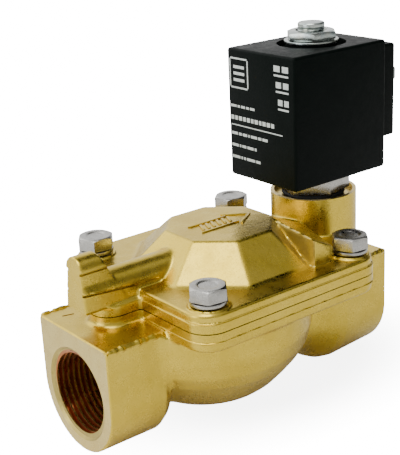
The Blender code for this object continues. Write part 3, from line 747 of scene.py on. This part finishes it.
def flange_strip(name, side, height, depth, half, rough=0.0, phase=0.0):
    """A thin band round one half of the flange: a groove tool, or a ridge where rough is given."""
    sections = []
    for i, (x, y, a, b) in enumerate(edge_path(side)):
        wobble = rough * (math.sin(i * 0.9 + phase) + 0.6 * math.sin(i * 2.3 + 2 * phase))
        if rough:
            reach = max(depth + wobble, 0.04)
            profile = ((-0.6, -half * 1.6), (reach, -half * 0.3), (reach, half * 0.3), (-0.6, half * 1.6))
        else:
            profile = ((-depth, -half * 0.3), (1.5, -half - 0.4), (1.5, half + 0.4), (-depth, half * 0.3))
        rise = height + 0.5 * wobble
        sections.append([(x + a * out, y + b * out, rise + up) for out, up in profile])
    return sweep(name, sections, FORGED)


def port_flash(end, side):
    """The rough forging flash along a top edge of a port block."""
    steps, corners = 44, 8
    middle = side * (PORT_HALF - 0.32), PORT_TOP - 0.38
    sections = []
    for i in range(steps + 1):
        share = i / steps
        x = end * (PORT_FACE - 0.6 - 17.6 * share)
        swell = math.sin(math.pi * min(share * 8, 0.5)) * math.sin(math.pi * min((1 - share) * 6, 0.5))
        wobble = math.sin(i * 0.43 + end + 2 * side) + 0.7 * math.sin(i * 0.97 + 3 * side)
        wobble += 0.4 * math.sin(i * 1.31)
        reach = 0.56 + swell * (0.36 + 0.13 * wobble)
        sections.append([(x, *around(middle, reach, math.tau * k / corners)) for k in range(corners)])
    return sweep(f"port_flash_{end}_{side}", sections, FORGED)


# Valve body


def valve_body():
    reach_x, reach_y = PORT_FACE + 3.0, FLANGE_HALF + 1.0
    low, high = (-reach_x, -reach_y, -20.0), (reach_x, reach_y, BODY_TOP + 3.0)
    brasses = (FORGED, MACHINED, THREAD_SHADE_BRASS, PAINTED_SHADE_BRASS)
    body = from_field("valve_body_forging", body_shape, low, high, BODY_GRID, *brasses)
    flash = [flange_strip("flash", side, FLASH_HEIGHT, 0.2, 0.4, 0.14, 1.0 + side) for side in (-1, 1)]
    flash += [port_flash(end, side) for end in (-1, 1) for side in (-1, 1)]
    boolean(body, flash, "UNION", "MANIFOLD")
    chamber = (
        (0.0, 25.0), (30.2, 25.0), (30.2, 20.4), (23.6, 20.4), (23.0, 19.0), (23.0, 10.5), (21.0, 8.5),
        (14.0, 8.5), (12.6, 9.9), (11.6, 14.0), (0.0, 14.0),
    )
    tools = [
        brick("top", (-80, -50, BODY_TOP), (80, 50, 40), MACHINED),
        revolve("chamber", chamber, MACHINED),
        rod("inlet_passage", (-38.0, 0, -1.5), (-19.6, 0, 10.6), 8.6, FORGED),
        upright_rod("seat_bore", (0, 0), -6.5, 15.0, 9.5, MACHINED),
        rod("outlet_passage", (-5.0, 0, -2.5), (38.0, 0, -2.5), 9.0, MACHINED),
    ]
    slope = (MOUTH_RADIUS - MOUTH_INNER) / MOUTH_DEPTH
    for side in (-1, 1):
        outside, inside = side * (PORT_FACE + 1.0), side * (PORT_FACE - MOUTH_DEPTH)
        tools += [
            rod(f"bore_{side}", (side * 60, 0, 0), (side * 35.0, 0, 0), BORE_MINOR, MACHINED, steps=96),
            # The mouth's chamfer takes the darker brass: painted shade
            rod(
                f"mouth_{side}", (outside, 0, 0), (inside, 0, 0), MOUTH_RADIUS + slope, PAINTED_SHADE_BRASS,
                MOUTH_INNER, steps=96,
            ),
            # The tap leaves its dark thread brass on the flanks it cuts: painted shade in the bore
            thread(
                f"tap_{side}", BORE_MINOR - 0.45, BORE_MAJOR, side * 36.5, side * 55.2, PITCH, THREAD_SHADE_BRASS,
                axis="X", steps=96, samples=8,
            ),
        ]
    # A short tick on the inlet block's top; its cut takes the dark thread brass, a painted shade
    tick = [(-50.3, 11.6), (-46.9, 10.7), (-46.7, 11.3), (-50.1, 12.2)]
    tools.append(prism("tick", tick, PORT_TOP - 0.3, PORT_TOP + 1.0, "Z", THREAD_SHADE_BRASS))
    for place in (FEED, TURRET):
        tools.append(upright_rod("hole", place, 8.0, 24.0, 1.5, MACHINED, 32))
        tools.append(upright_rod("seal_seat", place, 20.8, 24.0, 4.2, MACHINED))
    for place in BOLT_PLACES:
        tools.append(thread("bolt_tap", 2.95, 3.3, 17.4, 23.0, 1.0, MACHINED, place, steps=32, samples=6))
    boolean(body, tools, "DIFFERENCE", "MANIFOLD")
    for face in body.data.polygons:
        if abs(face.normal.x) > 0.99 and abs(face.center.x) > PORT_FACE - 0.05:
            face.material_index = brasses.index(MACHINED)
    piece(body, "valve", "valve_body")


def flow_arrow():
    """The raised flow arrow on the dome: two rails with slanted bars between them, and a head."""
    low, high = DOME_TOP - 0.6, DOME_TOP + 0.42
    shapes = [
        [(4.6, -5.4), (12.4, 0.0), (4.6, 5.4), (4.6, 4.3), (10.6, 0.0), (4.6, -4.3)],
        [(-9.6, -3.5), (4.9, -3.5), (4.9, -2.8), (-8.6, -2.8)],
        [(-9.6, 3.5), (4.9, 3.5), (4.9, 2.8), (-8.6, 2.8)],
    ]
    for i in range(6):
        x = -8.2 + 2.1 * i
        shapes.append([(x, -2.2), (x + 1.0, -2.2), (x + 3.0, 2.2), (x + 2.0, 2.2)])
    return [bevelled(prism("arrow", shape, low, high, "Z", FORGED), 0.15, 2) for shape in shapes]


def valve_cover():
    low = (-RIDGE_END - 1.0, -FLANGE_HALF - 1.0, COVER_LOW - 3.0)
    high = (54.5, FLANGE_HALF + 1.0, 43.0)
    brasses = (FORGED, MACHINED, PAINTED_SHADE_BRASS)
    cover = from_field("valve_cover_forging", cover_shape, low, high, COVER_GRID, *brasses)
    boolean(cover, flow_arrow(), "UNION", "MANIFOLD")
    cavity = ((0.0, 34.4), (13.0, 34.4), (23.5, 25.0), (23.5, 19.0), (0.0, 19.0))
    tools = [
        brick("bottom", (-80, -50, 10), (80, 50, COVER_LOW), MACHINED),
        upright_rod("boss_face", TURRET, BOSS_TOP, 48.0, 15.0, MACHINED, 96),
        revolve("cavity", cavity, MACHINED),
        upright_rod("feed_riser", FEED, 20.0, 29.0, 1.5, MACHINED, 32),
        rod("feed_channel", (FEED_X - 1.2, 0, 29.0), (-16.0, 0, 29.0), 1.5, MACHINED, steps=32),
        thread("turret_tap", 7.9, 8.35, 31.0, 44.0, 1.5, MACHINED, TURRET),
        upright_rod("ring_seat", TURRET, 38.1, 44.0, 12.6, MACHINED, 96),
        upright_rod("pilot_chamber", TURRET, 29.2, 32.0, 6.8, MACHINED),
        rod("pilot_channel", (14.0, 0, 30.2), (34.0, 0, 30.2), 1.0, MACHINED, steps=32),
        upright_rod("nozzle_seat", TURRET, 25.0, 30.0, 2.9, MACHINED),
        upright_rod("drain_riser", TURRET, 20.0, 26.0, 1.5, MACHINED, 32),
    ]
    tools += [upright_rod("bolt_hole", place, 20.0, 30.0, 3.3, MACHINED, 48) for place in BOLT_PLACES]
    eaves = NUB_TOP - NUB_HALF
    below_roof = ((-53.0, eaves - 0.8), (-43.2, eaves - 0.8), (-43.2, eaves), (-53.0, eaves))
    below_rod = ((-53.0, 30.25), (-34.0, 28.7), (-34.0, 29.5), (-53.0, 31.05))
    for side in (-1, 1):
        tools.append(flange_strip("line", side, 25.05, 0.22, 0.35))
        for outline, height, outer in ((below_roof, eaves, 6.0), (below_rod, ROD_LOW, 7.0)):
            inner = wall_half(height) - 0.5
            tools.append(prism("groove", outline, side * inner, side * outer, "Y", FORGED))
    boolean(cover, tools, "DIFFERENCE", "MANIFOLD")
    # Faces on the web's wall and the dome facet behind it take the darker brass: painted shade
    for face in cover.data.polygons:
        if face.center.z > COVER_TOP and gets_painted_shade(face.center, face.normal):
            face.material_index = brasses.index(PAINTED_SHADE_BRASS)
    piece(cover, "valve", "valve_cover")


def gets_painted_shade(place, normal):
    """Whether a face above the flange is on the web's wall, or on the dome's facet behind it, where shade is
    painted.
    """
    on_wall = normal.x < -0.6 and abs(place.x - 13.4) < 1.6 and -28.2 < place.y < -6.0
    on_facet = normal.x > 0.35 and normal.y < -0.35 and place.x < 14.8 and place.y > -27.0
    return on_wall or on_facet


# Fasteners


def hex_bolt(number, place, angle):
    low, high = 30.0, 33.94
    crown = (
        (0.0, high - 0.34), (2.6, high - 0.34), (3.1, high - 0.05), (3.5, high), (4.75, high),
        (5.0, high - 0.12), (7.2, high - 1.4), (7.2, low + 0.25), (4.9, low), (0.0, low),
    )
    head = crowned_hexagon(f"hex_bolt_{number}", place, 10.0, angle, low, high, crown, STAINLESS)
    shank = thread("shank", 2.5, 2.95, 17.9, 30.4, 1.0, STAINLESS, place, steps=48, samples=8)
    boolean(head, [shank], "UNION")
    piece(head, "valve", f"cover_bolt_{number}")


def spring_washer(number, place):
    """A split washer, its ends a little apart in height."""
    middle, inner, outer, half, steps = 29.1, 3.35, 5.28, 0.58, 72
    outline = ((inner, -half), (outer, -half * 0.92), (outer, half * 0.92), (inner, half))
    profile = softened(outline, 0.25, True, 2)
    gap = 0.5 / outer
    sections = []
    for i in range(steps + 1):
        share = i / steps
        angle = gap + (math.tau - 2 * gap) * share
        rise = middle + 0.2 * (share - 0.5)
        sections.append([(*around(place, radius, angle), rise + height) for radius, height in profile])
    washer = sweep(f"split_washer_{number}", sections, STAINLESS)
    piece(washer, "valve", f"spring_washer_{number}")


# Diaphragm and pilot


def coil_spring(name, radius, wire, low, high, turns, place, node):
    """A compression spring whose end turns lie flat and are ground."""
    corners, per_turn = 10, 36
    first, last, pitch = low + wire, high - wire, 2.15 * wire
    sections = []
    for i in range(int(turns * per_turn) + 1):
        turn = i / per_turn
        share = min(max((turn - 1.0) / (turns - 2.0), 0.0), 1.0)
        height = first + pitch * min(turn, 1.0) + (last - first - 2 * pitch) * share
        height += pitch * (1.0 - min(turns - turn, 1.0))
        section = []
        for k in range(corners):
            out, up = around((radius, height), wire, math.tau * k / corners)
            up = min(max(up, low + 0.25 * wire), high - 0.25 * wire)
            section.append((*around(place, out, math.tau * turn), up))
        sections.append(section)
    return piece(sweep(name, sections, SPRING_STEEL), "valve", node)


def diaphragm():
    membrane = (
        (29.8, 22.0), (29.8, 20.7), (23.9, 20.7), (22.2, 19.9), (20.2, 18.6), (18.2, 18.2), (3.3, 18.2),
        (3.3, 19.4), (17.6, 19.4), (19.7, 19.8), (21.6, 21.1), (23.6, 22.0),
    )
    sheet = revolve("rolling_membrane", membrane, RUBBER, closed=True, soft=0.5)
    sheet.data.transform(Matrix.Scale(MM, 4))
    sheet.data.shade_smooth()
    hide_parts("diaphragm_membrane")
    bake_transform(sheet)
    disc = ((13.0, 17.9), (13.0, 14.3), (3.3, 14.3), (3.3, 17.9))
    moulding = revolve("seat_disc_moulding", disc, RUBBER, closed=True, soft=0.3)
    piece(moulding, "diaphragm", "seat_disc")
    plate = ((15.4, 21.0), (16.0, 20.4), (16.0, 19.7), (3.3, 19.7), (3.3, 21.6), (7.2, 21.6), (7.6, 21.0))
    pressing = revolve("pressed_plate", plate, STAINLESS, closed=True, soft=0.25)
    piece(pressing, "diaphragm", "support_plate")
    rivet = (
        (0.0, 23.4), (4.4, 23.4), (5.2, 22.6), (5.2, 21.9), (3.0, 21.9), (3.0, 14.0), (5.2, 14.0),
        (5.2, 13.0), (0.0, 13.0),
    )
    piece(revolve("rivet", rivet, TURNED, soft=0.2), "diaphragm", "diaphragm_rivet")
    spring = coil_spring("diaphragm_spring", 9.2, 0.6, 21.3, 34.1, 5.5, (0.0, 0.0), "main_spring")
    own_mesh(spring)


def o_ring(name, major, minor, height, place, node):
    profile = [around((major, height), minor, math.tau * i / 20) for i in range(20)]
    piece(revolve(name, profile, RUBBER, place, closed=True, steps=72), "valve", node)


def pilot():
    nozzle = ((1.7, 32.0), (2.6, 30.6), (2.6, 25.3), (0.8, 25.3), (0.8, 32.0))
    jet = revolve("pilot_jet", nozzle, TURNED, TURRET, closed=True, soft=0.12)
    piece(jet, "valve", "pilot_nozzle")
    crown = ((0.0, 45.8), (9.9, 45.8), (13.5, 44.0), (13.5, 39.0), (0.0, 39.0))
    tube = crowned_hexagon("guide_tube", TURRET, 20.0, 14.0, 40.2, 45.8, crown, TUBE_STEEL, 0.2)
    added = [
        upright_rod("wall", TURRET, 43.0, 84.0, 6.5, TUBE_STEEL, 96),
        upright_rod("seat", TURRET, 39.0, 42.0, 7.4, TUBE_STEEL),
        thread("root", 7.4, 7.85, 31.6, 39.4, 1.5, TUBE_STEEL, TURRET),
    ]
    boolean(tube, added, "UNION")
    boolean(tube, [upright_rod("bore", TURRET, 30.0, 90.0, 5.1, TUBE_STEEL)], "DIFFERENCE")
    piece(tube, "valve", "armature_tube")
    core = (
        (0.0, 92.9), (3.8, 92.9), (4.15, 92.5), (4.15, 91.5), (3.9, 91.3), (3.9, 85.3), (6.5, 85.3),
        (6.5, 84.3), (4.8, 84.3), (4.8, 60.0), (4.0, 60.0), (4.0, 61.6), (2.6, 61.6), (2.6, 60.0),
        (0.0, 60.0),
    )
    stop = revolve("stop_and_stud", core, ZINC, TURRET, soft=0.12)
    stud = thread("stud", 3.72, 4.2, 85.9, 91.4, 1.0, ZINC, TURRET, samples=12)
    boolean(stop, [stud], "UNION")
    piece(stop, "valve", "fixed_core")
    shade = ((2.9, 60.05), (3.7, 60.05), (3.7, 61.3), (2.9, 61.3))
    shading = revolve("shading_coil", shade, COPPER, TURRET, closed=True, soft=0.12)
    piece(shading, "valve", "shading_ring")
    plunger = (
        (0.0, 50.0), (2.5, 50.0), (2.5, 57.9), (4.2, 57.9), (4.75, 57.3), (4.75, 34.5), (4.2, 33.9),
        (2.9, 33.9), (2.9, 35.0), (0.0, 35.0),
    )
    piece(revolve("armature_plunger", plunger, MAGNET_STEEL, TURRET, soft=0.15), "armature", "plunger")
    seal = ((0.0, 34.7), (2.6, 34.7), (2.6, 32.3), (0.0, 32.3))
    piece(revolve("pilot_seal", seal, RUBBER, TURRET, soft=0.2), "armature", "plunger_seal")
    spring = coil_spring("return_spring", 1.85, 0.28, 50.2, 59.8, 6.5, TURRET, "plunger_spring")
    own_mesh(spring)
    o_ring("turret_o_ring", 9.4, 0.75, 39.15, TURRET, "tube_seal")
    o_ring("feed_o_ring", 3.2, 0.55, 21.5, FEED, "feed_seal")
    o_ring("drain_o_ring", 3.2, 0.55, 21.5, TURRET, "drain_seal")


# Coil

COIL_FACE = 17.66
# Each blade's name, the node it stands for, its y and z, and whether it stands on edge
BLADES = (
    ("line_terminal", "line_blade", 5.2, 72.6, True),
    ("neutral_terminal", "neutral_blade", -5.2, 72.6, True),
    ("earth_terminal", "earth_blade", 0.0, 62.0, False),
)


def coil_housing():
    housing = bevelled(brick("coil_moulding", (COIL_FACE, -15, 46.1), (56.5, 15, 86.6), RESIN), 0.9, 5)
    block = bevelled(brick("block", (54.5, -13, 55.0), (63.0, 13, 84.5), RESIN), 0.9, 5)
    boolean(housing, [block], "UNION")
    groove = ((7.9, 88.0), (10.8, 88.0), (10.6, 84.8), (8.1, 84.8))
    spaces = [
        upright_rod("bore", TURRET, 45.0, 88.0, 6.85, RESIN, 96),
        revolve("groove", groove, RESIN, TURRET, closed=True),
        upright_rod("winding_space", TURRET, 48.7, 82.1, 13.3, RESIN, 96),
        brick("yoke_space", (20.3, -10.3, 47.4), (50.3, 10.3, 83.4), RESIN),
    ]
    for _, _, y, z, on_edge in BLADES:
        half_y, half_z = (0.7, 3.45) if on_edge else (3.45, 0.7)
        low, high = (58.2, y - half_y, z - half_z), (65.0, y + half_y, z + half_z)
        spaces.append(brick("blade_slot", low, high, RESIN))
    boolean(housing, spaces, "DIFFERENCE")
    piece(housing, "coil", "coil_housing")


def print_marks():
    """Blank printed marks on the coil: a frame, rules and rows of dashes, with no lettering."""
    rows = (
        (68.4, 1.0, (3.2, 1.6, 2.4, 1.8, 2.6)),
        (64.4, 1.7, (1.9, 1.7, 2.0, 1.8, 1.9, 1.7, 2.0, 1.6, 1.9, 2.0, 1.8)),
        (59.6, 1.1, (3.4, 1.8, 2.6, 1.2, 3.4, 2.0, 2.8)),
        (55.8, 1.1, (3.6, 1.2, 2.4, 3.4, 1.4)),
        (52.0, 1.1, (4.2, 1.2, 1.4, 4.4, 2.4)),
    )
    # Each bar as (y, z, width, height)
    bars = [(-9.6, 62.6, 23.4, 0.34)]
    for height, tall, widths in rows:
        y = 13.8
        for width in widths:
            bars.append((y - width + 0.5, height, width - 0.5, 0.78 * tall))
            y -= width
    bars += [(5.2, z, 8.6, 0.5) for z in (74.4, 83.4)]
    bars += [(y, 74.4, 0.5, 9.5) for y in (5.2, 13.3)]
    bars += [(7.0, 76.6 + 2.0 * step, 5.0, 0.9) for step in range(3)]
    for z, width in ((80.4, 6.2), (75.6, 5.4), (70.4, 4.6)):
        bars.append((-12.6, z, width, 0.55))
        bars += [(-12.6 + across * width, z + 1.4, width * 0.42, 1.8) for across in (0.0, 0.58)]
    bm = bmesh.new()
    for y, z, width, height in bars:
        add_box(bm, (COIL_FACE - 0.04, y, z), (COIL_FACE + 0.2, y + width, z + height))
    piece(from_bmesh("coil_print", bm, PRINT), "coil", slot="black_resin")


def coil_inside():
    bobbin = (
        (13.0, 80.6), (13.0, 79.4), (8.0, 79.4), (8.0, 51.4), (13.0, 51.4), (13.0, 50.2), (6.9, 50.2),
        (6.9, 80.6),
    )
    former = revolve("winding_former", bobbin, NYLON, TURRET, closed=True, soft=0.25)
    piece(former, "coil", "coil_bobbin")
    turns = 28
    low, high = 51.75, 79.05
    profile = [(8.35, low), (8.35, high)]
    for i in range(turns * 6 + 1):
        share = i / (turns * 6)
        ripple = 0.3 * abs(math.sin(math.pi * turns * share))
        profile.append((12.1 + ripple, high - (high - low) * share))
    piece(revolve("wound_wire", profile, COPPER, TURRET, closed=True, steps=72), "coil", "coil_winding")
    side = (
        (20.6, 47.7), (50.0, 47.7), (50.0, 49.7), (22.6, 49.7), (22.6, 81.1), (50.0, 81.1), (50.0, 83.1),
        (20.6, 83.1),
    )
    yoke = bevelled(prism("magnet_yoke", side, -10.0, 10.0, "Y", MAGNET_STEEL), 0.35)
    bore = upright_rod("bore", TURRET, 40.0, 90.0, 6.85, MAGNET_STEEL, 96)
    boolean(yoke, [bore], "DIFFERENCE")
    piece(yoke, "coil", "coil_yoke")


def blade(name, node, y, z, on_edge):
    """A flat connector blade with an eye, its width along Z when on edge and along Y when not."""
    half, thick, root, tip, cut = 3.15, 0.4, 58.5, 71.5, 1.6
    outline = (
        (root, -half), (tip - cut, -half), (tip, -half + cut), (tip, half - cut), (tip - cut, half),
        (root, half),
    )
    axis, level, middle = ("Y", y, z) if on_edge else ("Z", z, y)
    outline = [(x, middle + across) for x, across in outline]
    made = prism(name, outline, level - thick, level + thick, axis, ZINC)
    centre, through = Vector((67.5, y, z)), Vector((0, 2, 0) if on_edge else (0, 0, 2))
    eye = rod("eye", centre - through, centre + through, 1.0, ZINC, steps=32)
    boolean(made, [eye], "DIFFERENCE")
    bevelled(made, 0.15, 2)
    piece(made, "coil", node)


def coil_fixing():
    washer = ((4.6, 86.9), (8.4, 86.9), (8.4, 87.7), (4.6, 87.7))
    ring = revolve("flat_washer", washer, ZINC, TURRET, closed=True, soft=0.18)
    piece(ring, "valve", "coil_washer")
    crown = ((0.0, 90.5), (6.7, 90.5), (9.6, 89.3), (9.6, 88.4), (7.0, 87.9), (0.0, 87.9))
    nut = crowned_hexagon("hex_nut", TURRET, 14.0, NUT_ANGLE, 87.9, 90.5, crown, ZINC)
    bore = ((0.0, 92.0), (5.9, 92.0), (4.5, 90.0), (4.5, 88.4), (5.2, 87.0), (0.0, 87.0))
    boolean(nut, [revolve("bore", bore, ZINC, TURRET)], "DIFFERENCE")
    piece(nut, "valve", "coil_nut")


# Studio

# The floor's painted shadow, in metres from a point under the valve, and its share of the full glow
PAINTED_SHADOW_CENTRE = (0.012, 0.0, 0.0)
PAINTED_SHADOW_START = 0.018
PAINTED_SHADOW_END = 0.056
PAINTED_SHADOW_SHARE = 0.33

# The sky is even, with brighter and darker parts as (direction, start, end, added strength)
SKY = 0.60
SKY_LOBES = (
    ((-0.30, 0.75, 0.60), 0.78, 0.95, 2.0),
    ((-0.35, -0.1, 0.93), 0.80, 0.98, 0.8),
    ((0.95, -0.2, 0.12), 0.45, 0.95, -0.45),
    ((0.57, -0.36, 0.74), 0.90, 1.0, 0.32),
    ((0.57, 0.75, 0.34), 0.80, 1.0, 0.95),
    ((0.54, 0.12, 0.83), 0.89, 0.97, -0.50),
    ((0.57, -0.70, 0.40), 0.82, 0.96, -0.20),
)


def camera():
    """The camera at the height and angle of a product photograph, its long side upright."""
    azimuth, tilt, roll = math.radians(-37.46), math.radians(90.0 - 19.67), math.radians(-2.93)
    data = bpy.data.cameras.new("camera")
    data.lens = 83.56
    data.sensor_width = 36.0
    data.clip_start = 0.01
    made = new_object("camera", data)
    turn = Matrix.Rotation(azimuth, 4, "Z") @ Matrix.Rotation(tilt, 4, "X") @ Matrix.Rotation(roll, 4, "Z")
    made.matrix_world = Matrix.Translation((-0.18765, -0.23507, 0.14396)) @ turn
    bpy.context.scene.camera = made


def softbox(name, place, aim, size, power):
    data = bpy.data.lights.new(name, "AREA")
    data.shape = "RECTANGLE"
    data.size, data.size_y = size
    data.energy = power
    made = new_object(name, data)
    made.location = place
    made.rotation_euler = (Vector(aim) - Vector(place)).to_track_quat("-Z", "Y").to_euler()


def floor_plane(name, height, colour, glow):
    material = bpy.data.materials.new(name)
    material.use_nodes = True
    tree = material.node_tree
    inputs = tree.nodes["Principled BSDF"].inputs
    inputs["Base Color"].default_value = (*colour, 1.0)
    inputs["Emission Color"].default_value = (1.0, 1.0, 1.0, 1.0)
    for setting, value in (("Roughness", 0.6), ("Specular IOR Level", 0.2), ("Emission Strength", glow)):
        inputs[setting].default_value = value
    # The glow dims near the valve, longer along the ports: a painted shadow
    if glow:
        place = add_node(tree, "ShaderNodeTexCoord").outputs["Object"]
        place = add_node(tree, "ShaderNodeMapping", Vector=place, Scale=(0.6, 1.0, 1.0)).outputs[0]
        away = add_node(tree, "ShaderNodeVectorMath", OPERATION="DISTANCE")
        tree.links.new(place, away.inputs[0])
        away.inputs[1].default_value = PAINTED_SHADOW_CENTRE
        bright = add_node(
            tree, "ShaderNodeMapRange", INTERPOLATION_TYPE="SMOOTHSTEP", Value=away.outputs["Value"],
            From_Min=PAINTED_SHADOW_START, From_Max=PAINTED_SHADOW_END, To_Min=PAINTED_SHADOW_SHARE * glow, To_Max=glow,
        )
        tree.links.new(bright.outputs[0], inputs["Emission Strength"])
    bpy.ops.mesh.primitive_plane_add(size=12.0, location=(0, 0, height))
    plane = bpy.context.object
    plane.name = name
    plane.data.materials.append(material)
    return plane


def studio():
    """A white floor that the camera sees, and a softer one under it that the metal reflects."""
    shown = floor_plane("white_floor", -0.01845, (0.9, 0.9, 0.9), 18.0)
    shown.visible_glossy = shown.visible_diffuse = shown.visible_shadow = False
    mirrored = floor_plane("reflected_floor", -0.01850, (0.92, 0.92, 0.90), 0.0)
    mirrored.visible_camera = False
    world = bpy.data.worlds.new("studio")
    bpy.context.scene.world = world
    world.use_nodes = True
    tree = world.node_tree
    background = tree.nodes["Background"]
    background.inputs["Color"].default_value = (1.0, 1.0, 1.0, 1.0)
    towards = add_node(tree, "ShaderNodeTexCoord").outputs["Generated"]
    total = SKY
    for direction, start, end, strength in SKY_LOBES:
        dot = add_node(tree, "ShaderNodeVectorMath", OPERATION="DOT_PRODUCT")
        tree.links.new(towards, dot.inputs[0])
        dot.inputs[1].default_value = Vector(direction).normalized()
        lobe = add_node(
            tree, "ShaderNodeMapRange", INTERPOLATION_TYPE="SMOOTHSTEP", Value=dot.outputs["Value"],
            From_Min=start, From_Max=end, To_Min=0.0, To_Max=strength,
        )
        join = add_node(tree, "ShaderNodeMath", OPERATION="ADD", Value=total)
        tree.links.new(lobe.outputs[0], join.inputs[1])
        total = join.outputs[0]
    tree.links.new(total, background.inputs["Strength"])
    softbox("overhead", (-0.25, -0.15, 0.75), (0, 0, 0.03), (0.5, 0.5), 3.2)
    softbox("left", (-0.75, 0.1, 0.25), (0, 0, 0.03), (0.4, 0.5), 2.5)


camera()
studio()
valve_body()
valve_cover()
for bolt_number, bolt_place in enumerate(BOLT_PLACES, 1):
    hex_bolt(bolt_number, bolt_place, BOLT_ANGLES[bolt_number - 1])
    spring_washer(bolt_number, bolt_place)
diaphragm()
pilot()
coil_housing()
print_marks()
coil_inside()
for terminal in BLADES:
    blade(*terminal)
coil_fixing()
